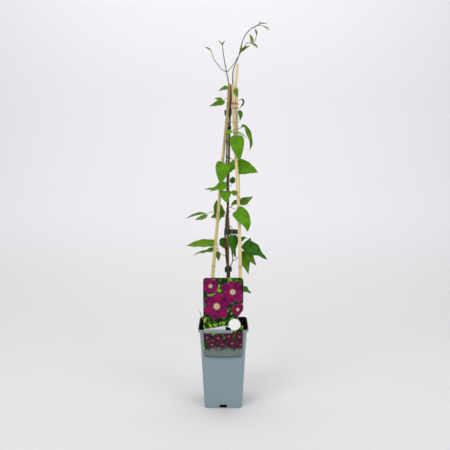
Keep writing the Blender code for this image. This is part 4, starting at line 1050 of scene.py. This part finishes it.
def paper_back(work):
    """The card's cut edges and back, which has a row of points where the flap begins to lean."""
    edge = [e for e in work.edges if e.is_boundary]
    made = bmesh.ops.extrude_edge_only(work, edges=edge)["geom"]
    for vert in made:
        if isinstance(vert, bmesh.types.BMVert):
            vert.co.y += LABEL_THICK
    edge = [e for e in made if isinstance(e, bmesh.types.BMEdge) and e.is_boundary]
    back = bmesh.ops.triangle_fill(work, edges=edge, use_beauty=True)["geom"]
    faces = [f for f in back if isinstance(f, bmesh.types.BMFace)]
    middles = np.array([f.calc_center_median() for f in faces])
    in_slot = inside_of(LABEL_SLOT, middles[:, 0], middles[:, 2])
    bmesh.ops.delete(work, geom=[f for f, cut in zip(faces, in_slot) if cut], context="FACES")
    faces = [f for f in faces if f.is_valid]
    parts = set(faces) | {e for f in faces for e in f.edges} | {v for f in faces for v in f.verts}
    bmesh.ops.bisect_plane(work, geom=list(parts), plane_co=(0, 0, FLAP_HINGE), plane_no=(0, 0, 1))


def lay_ink(places):
    """The print at each point of the card, with an alpha of 1 where ink is laid."""
    front = places[:, 1] < LABEL_FRONT + 0.1
    ink = np.zeros((len(places), 4))
    ink[front, :3] = print_label(places[front, 0], places[front, 2])
    ink[front, 3] = 1
    # The fold has worn the print off along the slot's upper lip
    slot_middle, slot_reach, slot_end = 181, 11, 20
    by_slot = front & (np.abs(places[:, 2] - slot_middle) < slot_reach)
    by_slot &= places[:, 0] < slot_end
    for i in np.nonzero(by_slot)[0]:
        gap = nearest_on(LABEL_SLOT[2:], Vector((places[i, 0], places[i, 2])))[0]
        ink[i, 3] = min(1, max(0, (gap - 0.9) / 0.6)) * 0.9 + 0.1
    return ink


def make_label():
    """The card: a fine printed sheet cut to the outline and slot, a paper back and the tongue."""
    work = bmesh.new()
    printed_sheet(work)
    paper_back(work)
    add_tongue(work)
    bmesh.ops.recalc_face_normals(work, faces=work.faces)
    mesh = bpy.data.meshes.new("fine_label")
    work.to_mesh(mesh)
    work.free()
    places = np.array([v.co for v in mesh.vertices])
    ink = lay_ink(places)
    places[:, 1] += FLAP_LEAN * np.maximum(0, FLAP_HINGE - places[:, 2])
    mesh.vertices.foreach_set("co", (places * MM).ravel())
    layer = mesh.color_attributes.new("print", "FLOAT_COLOR", "POINT")
    layer.data.foreach_set("color", ink.ravel())
    mesh.shade_smooth()
    mesh.set_sharp_from_angle(angle=math.radians(38))
    mesh.materials.append(label_material())
    finish_piece(new_object("fine_label", mesh), "card", "label")


def finish_piece(piece, slot, *nodes):
    """A piece rides on the one body and stands for its nodes, which are hidden; its slot is not
    used.
    """
    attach(piece, "root")
    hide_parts(*nodes)


def cut_away(piece, tool):
    """Bake the difference of a piece and a tool into the piece, and drop the tool."""
    modifier = piece.modifiers.new("work", "BOOLEAN")
    modifier.operation = "DIFFERENCE"
    modifier.object = tool
    modifier.solver = "EXACT"
    view = bpy.context.evaluated_depsgraph_get()
    mesh = bpy.data.meshes.new_from_object(piece.evaluated_get(view))
    piece.modifiers.remove(modifier)
    piece.data = mesh
    bpy.data.objects.remove(tool, do_unlink=True)


COLLAR_FOOT = POT_HEIGHT - COLLAR_HEIGHT
# Edges of the pot, as an offset from a width, a corner and a height
FOOT_EDGE = [(-2.2, 0), (-0.9, 0.15), (-0.2, 0.7), (0, 1.5)]
COLLAR_EDGE = [(-2.6, COLLAR_FOOT), (-1.8, COLLAR_FOOT + 0.3), (-1.5, COLLAR_FOOT + 0.9),
               (-0.5, 178.2), (0, 178.8), (-0.1, 179.4), (-0.7, 179.9), (-1.4, 180)]
COLLAR_INSIDE = [(-2.1, 179.7), (-2 * WALL - 0.2, 179.0), (-2 * WALL - 1.6, COLLAR_FOOT + WALL)]


def body_width(height):
    """Outside width of the pot's tapered body at a height."""
    return BASE_WIDTH + (BODY_TOP_WIDTH - BASE_WIDTH) * (height / COLLAR_FOOT)


def make_pot():
    """The shell with rounded collar edges, a foot line and four notches at its base."""
    inner_corner = TOP_CORNER - WALL
    rows = 11
    profile = [(BASE_WIDTH + out, BASE_CORNER, height) for out, height in FOOT_EDGE]
    for i in range(1, rows + 1):
        height = 1.5 + (COLLAR_FOOT - 3) * i / rows
        corner = BASE_CORNER + (TOP_CORNER - BASE_CORNER) * (height / POT_HEIGHT)
        sag = 0.5 * math.sin(math.pi * i / (rows + 1))
        profile.append((body_width(height) - sag, corner, height))
    top = body_width(COLLAR_FOOT)
    profile += [(top, TOP_CORNER, COLLAR_FOOT - 0.4), (top + 0.5, TOP_CORNER, COLLAR_FOOT)]
    profile += [(COLLAR_WIDTH + out, TOP_CORNER, height) for out, height in COLLAR_EDGE]
    profile += [(COLLAR_WIDTH + out, inner_corner, height) for out, height in COLLAR_INSIDE]
    profile += [(top - 2 * WALL, inner_corner, COLLAR_FOOT + WALL),
                (body_width(WALL) - 2 * WALL, BASE_CORNER - WALL, WALL)]
    shape = Shape()
    shape.loft([rounded_square(*row, 10) for row in profile])
    pot = shape.build("fine_pot", [pot_material()])
    half, high = NOTCH_WIDTH / 2, NOTCH_WIDTH / 2 - NOTCH_SLOPE
    outline = [(-half, -1), (half, -1), (high + 0.3, NOTCH_HEIGHT - 1.2), (high - 1, NOTCH_HEIGHT),
               (1 - high, NOTCH_HEIGHT), (-high - 0.3, NOTCH_HEIGHT - 1.2)]
    cutter = Shape()
    for turn in range(4):
        cos, sin = math.cos(math.radians(90 * turn)), math.sin(math.radians(90 * turn))
        cutter.loft([[(x * cos - y * sin, x * sin + y * cos, z) for x, z in outline]
                     for y in (-BASE_WIDTH / 2 - 4, NOTCH_DEPTH - BASE_WIDTH / 2)],
                    [(0, 0)] * (2 * len(outline)))
    cut_away(pot, cutter.build("notch_tool", []))
    pot.data.shade_smooth()
    pot.data.set_sharp_from_angle(angle=math.radians(38))
    finish_piece(pot, "pot_plastic", "pot")


def soil_height(x, y):
    """Height of the peat: crumbly, low behind the label's tongue, and heaped within the rim."""
    spot = Vector((x, y, 0))
    rough = noise.noise(spot * 0.09) * 0.8 + noise.noise(spot * 0.33) * 0.9
    rough += noise.noise(spot * 0.9) * 0.7 + abs(noise.noise(spot * 2.1)) * 0.7
    level = SOIL_TOP + SOIL_BACK_RISE * min(1.0, max(0.0, (y + 38) / 22))
    from_wall = COLLAR_WIDTH / 2 - WALL - max(abs(x), abs(y))
    heap = min(1.0, from_wall / 14)
    return level - 0.2 + heap * SOIL_MOUND * 0.7 + rough * (0.25 + 0.6 * heap)


def add_crumbs(shape, limit, count=1500):
    """Loose crumbs and chips on the peat."""
    work = bmesh.new()
    bmesh.ops.create_icosphere(work, subdivisions=1, radius=1.0)
    ball = [tuple(v.co) for v in work.verts]
    faces = [tuple(v.index for v in f.verts) for f in work.faces]
    work.free()
    draw = random.Random(8)
    for _ in range(count):
        x, y = draw.uniform(-limit, limit), draw.uniform(-limit, limit)
        size = draw.uniform(0.45, 1.5) * (1.5 if draw.random() < 0.08 else 1)
        stretch = Vector((draw.uniform(0.7, 1.7), draw.uniform(0.7, 1.3), draw.uniform(0.6, 1.0)))
        spin = Matrix.Rotation(draw.uniform(0, TURN), 3, "Z")
        turn = spin @ Matrix.Rotation(draw.uniform(-0.6, 0.6), 3, "X")
        middle = Vector((x, y, soil_height(x, y) + 0.2 * size))
        seed = Vector((x, y, 7))
        lump = []
        for corner in ball:
            clear_of_crease_shade = 1 + 0.45 * noise.noise(seed + Vector(corner) * 1.7)
            spot = Vector([a * b for a, b in zip(corner, stretch)]) * (size * clear_of_crease_shade * 0.7)
            lump.append(middle + turn @ spot)
        shape.add(lump, faces)


def make_soil():
    """Peat: a body that fills the pot, a crumbly top, and loose crumbs on it."""
    foot = WALL + GAP
    ledge = COLLAR_FOOT + foot
    top_width = COLLAR_WIDTH - 2 * foot - 2.0
    inner_width = body_width(COLLAR_FOOT) - 2 * foot
    inner_corner = TOP_CORNER - WALL
    steps, rounds = 9, 44
    shape = Shape()
    shape.loft([rounded_square(body_width(foot) - 2 * foot, BASE_CORNER - WALL, foot, steps),
                rounded_square(inner_width, inner_corner, COLLAR_FOOT, steps),
                rounded_square(inner_width, inner_corner, ledge, steps),
                rounded_square(top_width, inner_corner, ledge, steps)])
    edge = [Vector(p) for p in rounded_square(top_width, inner_corner, SOIL_TOP, steps)]
    rim = []
    for a, b in zip(edge, edge[1:] + edge[:1]):
        count = max(1, round((b - a).length / 1.5))
        rim += [a.lerp(b, i / count) for i in range(count)]
    rings = [[Vector((p.x, p.y, ledge + 0.1)) for p in rim]]
    for ring in range(rounds):
        share = (1 - ring / rounds) ** 0.85
        rings.append([Vector((p.x * share, p.y * share, soil_height(p.x * share, p.y * share)))
                      for p in rim])
    shape.loft(rings, [(p.x * MM, p.y * MM) for ring in rings for p in ring])
    add_crumbs(shape, top_width / 2 - 2)
    finish_piece(shape.build("fine_soil", [peat_material()]), "peat", "soil")


# Slot, straw, brown, stain, how rare stains are, and how much darker the top grows
CANE_LOOKS = {
    "cane_left": ("bamboo_tan", (0.67, 0.61, 0.25), (0.54, 0.45, 0.17), (0.18, 0.11, 0.04),
                  0.66, 0.55),
    "cane_right": ("bamboo_pale", (0.82, 0.72, 0.38), (0.70, 0.58, 0.27), (0.32, 0.20, 0.09),
                   0.68, 0.25),
    "cane_tall": ("bamboo_pale", (0.84, 0.74, 0.46), (0.72, 0.58, 0.32), (0.34, 0.22, 0.10),
                  0.70, 0.0),
    "cane_middle": ("bamboo_olive", (0.26, 0.18, 0.08), (0.15, 0.095, 0.04),
                    (0.06, 0.032, 0.013), 0.56, 0.4),
}
# Places along a cane at which each node's form is read, counted from the node
NODE_READS = (-4, -2.6, -1.6, -1, -0.6, -0.2, 0.2, 0.6, 1.0, 1.8, 3, 5)


def hump(place, middle, width):
    """1 at the middle, and less the further away."""
    return math.exp(-((place - middle) / width) ** 2)


def make_cane(name):
    """A cane with a swollen joint and a groove at each node, and bud scars at every other one."""
    slot, *looks = CANE_LOOKS[name]
    draw = random.Random(name)
    length = path_length(smooth_path(CANE_PATHS[name], 60))
    marks = []
    mark = CANE_NODE_PITCH * 0.6
    while mark < length - 12:
        marks.append((mark, draw.uniform(0, TURN)))
        mark += CANE_NODE_PITCH
    reads, last = 130, 2000
    stops = sorted({round(length * i / reads, 2) for i in range(reads + 1)}
                   | {round(m + d, 2) for m, _ in marks for d in NODE_READS})
    fine = smooth_path(CANE_PATHS[name], last + 1)
    path = [fine[min(last, max(0, round(last * s / length)))] for s in stops]
    radii, darks = [], []
    for s in stops:
        rise, dark = 0.0, 0.0
        for m, _ in marks:
            off = s - m
            rise += CANE_NODE_RISE * hump(off, -0.9, 1.3)
            rise -= 0.35 * hump(off, 0.4, 0.45)
            rise += 0.18 * hump(off, 1.4, 1.2)
            dark += hump(off, 0.4, 0.8) + 0.3 * hump(off, -2, 2.5)
        radii.append(cane_radius(name, s / length) + rise)
        darks.append(min(1.0, dark))
    seed = Vector((draw.uniform(0, 50), 0, 0))

    def wobble(share, angle):
        return 0.12 * noise.noise(seed + Vector((math.cos(angle), math.sin(angle), share * 14)))

    shape = Shape()
    shape.tube(path, radii, 20, tone=darks, wobble=wobble)
    for m, angle in marks[1::2]:
        at, out = fine[round(last * m / length)], outward(angle)
        radius = cane_radius(name, m / length)
        base = at + out * (radius * 0.7)
        tip = at + out * (radius + 1.1) + Vector((0, 0, 2.4))
        shape.tube([base, base.lerp(tip, 0.5) + Vector((0, 0, 0.2)), tip], [1.0, 0.8, 0.35], 8,
                   tone=0.8)
    material = bamboo_material("fine_" + name + "_skin", *looks)
    finish_piece(shape.build("fine_" + name, [material]), slot, name)


def make_stem(name, path, radii, material):
    """A woody stem: swollen nodes, split bark that stands up in strips."""
    draw = random.Random(name)
    nodes = [draw.uniform(0.02, 0.06) + i * 0.085 for i in range(12)]
    reads = 300
    fine = smooth_path(path, reads)
    widths, tones = [], []
    for i in range(reads):
        share = i / (reads - 1)
        place = share * (len(radii) - 1)
        low = min(int(place), len(radii) - 2)
        radius = radii[low] + (radii[low + 1] - radii[low]) * (place - low)
        clear_of_crease_shade = sum(hump(share, n, 0.006) for n in nodes)
        widths.append(radius * (1 + 0.42 * min(1, clear_of_crease_shade)))
        tones.append(min(1.0, clear_of_crease_shade))
    seed = Vector((draw.uniform(0, 50), 3, 0))

    def wobble(share, angle):
        place = Vector((math.cos(angle) * 2.2, math.sin(angle) * 2.2, share * 30))
        return 0.3 * noise.noise(seed + place)

    shape = Shape()
    shape.tube(fine, widths, 14, tone=tones, wobble=wobble)
    for _ in range(26):
        i = draw.randrange(10, 285)
        out = outward(draw.uniform(0, TURN)) * (widths[i] * 0.9)
        span = [fine[i] + out, fine[i + 4] + out * 1.25, fine[i + 7] + out * draw.uniform(1.5, 2.1)]
        shape.tube(smooth_path(span, 6), [0.35, 0.4, 0.35, 0.3, 0.2, 0.08], 5, tone=-0.5)
    finish_piece(shape.build("fine_" + name, [material]), "bark", name)


def make_stems():
    bark = bark_material()
    route = stem_main_path()
    make_stem("stem_main", route, [stem_main_radius(p.z) for p in route], bark)
    make_stem("stem_second", smooth_path(STEM_SECOND_PATH, 44), [STEM_SECOND_RADIUS] * 44, bark)


def make_wire():
    """A wire round all the canes, with a twisted tail in front."""
    material = tie_material("fine_wire", (0.60, 0.56, 0.44), (0.42, 0.38, 0.28), 0.45,
                            (900, 900, 2500))
    shape = Shape()
    count, steps = 96, 22
    loop = loop_round(BUNDLE, WIRE_HEIGHT, WIRE_MARGIN + WIRE_RADIUS, count)
    for i, spot in enumerate(loop):
        spot.z += 0.3 * math.sin(i / count * (2 * TURN))
    shape.tube(loop, [WIRE_RADIUS] * count, 10, closed=True)
    knot = min(loop, key=lambda p: p.y)
    for turn in (0.0, math.pi):
        twist = []
        for t in (i / (steps - 1) for i in range(steps)):
            angle = turn + t * 14
            twist.append(knot + Vector((0.75 * math.cos(angle), -0.4 + 0.75 * math.sin(angle),
                                        1.0 - 7 * t)))
        shape.tube(twist, [0.38] * steps, 6)
    finish_piece(shape.build("fine_band_wire", [material]), "pale_wire", "band_wire")


def make_rings():
    """Two rubber rings round the right and the tall cane."""
    material = tie_material("fine_rubber", (0.52, 0.27, 0.07), (0.34, 0.16, 0.04), 0.6,
                            (700, 700, 2600))
    count = 80
    for name, height in RING_HEIGHTS.items():
        shape = Shape()
        loop = loop_round(["cane_right", "cane_tall"], height, WIRE_MARGIN + RING_RADIUS, count)
        for i, spot in enumerate(loop):
            spot.z += 0.35 * math.sin(i / count * TURN + height)
        radii = [RING_RADIUS + 0.12 * math.sin(i * 0.7) for i in range(count)]
        shape.tube(loop, radii, 12, closed=True)
        finish_piece(shape.build("fine_" + name, [material]), "ring_rubber", name)


# Loose ends of the tapes, in plan; those of tape_right count from the edge of the middle cane
TAILS = {
    "tape_top": [[(7.4, 5.6), (5.2, 5.7), (3.6, 4.6), (2.9, 2.2)]],
    "tape_right": [[(0, 0), (6, 0.3), (13, -1), (18.5, -3.2)]],
    "tape_low": [[(6.2, -2.9), (5, -3.8), (3.2, -5.4)], [(13.4, 1.6), (16, 1.4), (18.8, 0.4)]],
}


def make_tapes():
    """Tapes in two creased layers round the middle cane and the main stem, with loose ends."""
    material = tie_material("fine_tape", (0.010, 0.022, 0.014), (0.028, 0.050, 0.032), 0.42,
                            (500, 500, 3400))
    count, rows = 72, 9
    for name, (height, tall) in TAPES.items():
        shape = Shape()
        for layer, wall in ((0, 0), (0, 1), (1, 0), (1, 1)):
            if not wall:
                points = []
            for row in range(rows):
                level = (row / (rows - 1) - 0.5) * (tall - 2.6 * layer)
                crease = 0.25 * math.sin(row * 2.2 + layer)
                margin = TAPE_MARGIN + 0.1 + 0.35 * layer + (TAPE_THICK - 0.45) * (1 - wall)
                loop = loop_round(TIED, height + level, margin + crease * 0.5, count)
                for i, spot in enumerate(loop):
                    lean = (0.5 + layer) * math.sin(i / count * TURN + 2 * layer)
                    points.append(spot + Vector((0, 0, lean + 0.2 * math.sin(i * 0.9 + row))))
            if wall:
                shape.add(points, two_sided(rows, count, closed=True))
        x, y, radius = rod_at("cane_middle", height)
        for tail in TAILS.get(name, []):
            if name == "tape_right":
                tail = [(x + radius + 0.9 + step, y + out) for step, out in tail]
            drop = [0.16 * i * len(tail) / 3 for i in range(len(tail))]
            ribbon(shape, [(*spot, height - fall) for spot, fall in zip(tail, drop)])
        finish_piece(shape.build("fine_" + name, [material]), "tie_tape", name)


def ribbon(shape, path, thick=0.5):
    """A crumpled flat strip of tape that stands upright along a path."""
    count, rows = 26, 7
    line = smooth_path(path, count)
    points = []
    for face in (0.5, -0.5):
        for i, (spot, along) in enumerate(zip(line, tangents(line))):
            out = Vector((-along.y, along.x, 0)).normalized()
            for row in range(rows):
                level = row / (rows - 1) - 0.5
                fold = 0.5 * math.sin(i * 0.5 + row * 0.9) * (i / count)
                ragged = 1 + 0.12 * math.sin(i * 1.3 + (2 if level > 0 else 0))
                rise = Vector((0, 0, level * TAPE_TAIL * ragged))
                points.append(spot + out * (face * thick + fold) + rise)
    shape.add(points, two_sided(count, rows))


# Blades that take their leaf's third material, because light falls on them
LIT_BLADES = {"leaf_maple_right": (3, 4)}


def make_foliage(name, spec, materials, slot):
    """Fine petioles and blades of one leaf or shoot."""
    petioles, blades = spec
    draw = random.Random(name)
    shape = Shape()
    for path, radius in petioles:
        if isinstance(path[0][0], str):
            path = [stem_side(*path[0], path[1])] + path[1:]
        count = 14 * len(path)
        radii = [radius * (1 - 0.3 * t) * (1 + 0.5 * hump(t, 0, 0.05))
                 for t in (i / (count - 1) for i in range(count))]
        shape.tube(smooth_path(path, count), radii, 9, kind=1, tone=draw.uniform(-1, 1))
    for i, blade in enumerate(blades):
        fine_blade(shape, draw, *blade, kind=2 if i in LIT_BLADES.get(name, ()) else 0)
    finish_piece(shape.build("fine_" + name, materials), slot, name)


def make_leaves():
    stalk = stalk_material("fine_leaf_stalk", (0.17, 0.24, 0.05), (0.10, 0.07, 0.05),
                           (0.22, 0.30, 0.07))
    looks = {
        GREEN: leaf_material("fine_leaf_green", (0.050, 0.150, 0.003), (0.105, 0.260, 0.004),
                             (0.21, 0.37, 0.012), (0.28, 0.40, 0.04)),
        BRIGHT: leaf_material("fine_leaf_bright", (0.072, 0.235, 0.002), (0.130, 0.345, 0.003),
                              (0.22, 0.43, 0.006), (0.29, 0.46, 0.03)),
        DARK: leaf_material("fine_leaf_dark", (0.013, 0.080, 0.0015), (0.032, 0.165, 0.002),
                            (0.065, 0.25, 0.004), (0.10, 0.27, 0.012)),
    }
    for name, (slot, *spec) in LEAVES.items():
        materials = [looks[slot], stalk] + [looks[GREEN]] * (name in LIT_BLADES)
        make_foliage(name, spec, materials, slot)


def make_shoots():
    green = stalk_material("fine_shoot_green", (0.085, 0.10, 0.035), (0.05, 0.035, 0.03),
                           (0.13, 0.16, 0.05))
    purple = stalk_material("fine_shoot_purple", (0.085, 0.045, 0.045), (0.035, 0.018, 0.022),
                            (0.12, 0.085, 0.06))
    young = leaf_material("fine_leaf_young", (0.06, 0.13, 0.012), (0.13, 0.23, 0.020),
                          (0.25, 0.36, 0.06), (0.30, 0.34, 0.11))
    make_foliage("shoot_left", SHOOTS["shoot_left"], [young, green], "shoot_green")
    make_foliage("shoot_right", SHOOTS["shoot_right"], [young, purple], "shoot_purple")


def make_stalk():
    """A thin dry stalk with a swelling at each of its nodes."""
    material = stalk_material("fine_dry_stalk", (0.17, 0.15, 0.07), (0.08, 0.06, 0.03),
                              (0.24, 0.22, 0.11), 0.8)
    shape = Shape()
    count, nodes = 40, (16, 17, 30)
    radii = [STALK_RADIUS * (1 - 0.3 * i / (count - 1) + (0.35 if i in nodes else 0))
             for i in range(count)]
    shape.tube(smooth_path(STALK_PATH, count), radii, 8)
    finish_piece(shape.build("fine_stalk", [material]), "dry_stalk", "stalk")


def make_floor():
    """A pale floor that rises behind in one sweep."""
    half, steps = 3.2, 24
    start, bend = 0.6, 0.9
    profile = [(-3.0, 0.0), (start, 0.0)]
    for angle in (math.pi / 2 * i / steps for i in range(1, steps + 1)):
        profile.append((start + bend * math.sin(angle), bend - bend * math.cos(angle)))
    profile.append((start + bend, 3.6))
    mesh = bpy.data.meshes.new("backdrop")
    mesh.from_pydata([(x, y, z) for y, z in profile for x in (-half, half)], [],
                     [(2 * i, 2 * i + 1, 2 * i + 3, 2 * i + 2) for i in range(len(profile) - 1)])
    mesh.shade_smooth()
    mesh.materials.append(backdrop_material())
    floor = new_object("backdrop", mesh)


def area_light(name, place, target, size, power, colour=(1, 1, 1)):
    light = bpy.data.lights.new(name, "AREA")
    light.shape = "RECTANGLE"
    light.size, light.size_y = size
    light.energy = power
    light.color = colour
    thing = new_object(name, light)
    thing.location = place
    thing.rotation_euler = (Vector(target) - Vector(place)).to_track_quat("-Z", "Y").to_euler()


def make_studio():
    """A pale world, a warm key on the left, a cool fill on the right, and light from above."""
    world = bpy.data.worlds.new("studio")
    bpy.context.scene.world = world
    world.use_nodes = True
    background = world.node_tree.nodes["Background"]
    background.inputs["Color"].default_value = (0.96, 0.955, 1.0, 1.0)
    background.inputs["Strength"].default_value = 0.48
    area_light("key", (-1.1, -1.5, 1.9), (0, 0, 0.4), (1.3, 1.3), 20, (1.0, 0.985, 0.96))
    area_light("fill", (1.5, -1.3, 1.1), (0, 0, 0.35), (1.2, 1.4), 11, (0.96, 0.98, 1.0))
    area_light("top", (0.0, 0.1, 2.4), (0, 0, 0.3), (1.6, 1.2), 7)
    area_light("back", (0.0, 0.35, 2.2), (0, 1.4, 0.8), (2.6, 0.6), 10.5)


def make_camera():
    """The camera fitted to the photo."""
    camera = bpy.data.cameras.new("camera")
    camera.lens = 43.5
    camera.sensor_width = 36.0
    thing = new_object("camera", camera)
    thing.location = (0.0037, -1.192, 0.527)
    thing.rotation_euler = (math.radians(84), 0, 0)
    bpy.context.scene.camera = thing


bpy.context.scene.view_settings.view_transform = "Standard"
make_camera()
make_pot()
make_soil()
for cane in CANE_PATHS:
    make_cane(cane)
make_stems()
make_wire()
make_rings()
make_tapes()
make_leaves()
make_shoots()
make_stalk()
make_label()
make_floor()
make_studio()
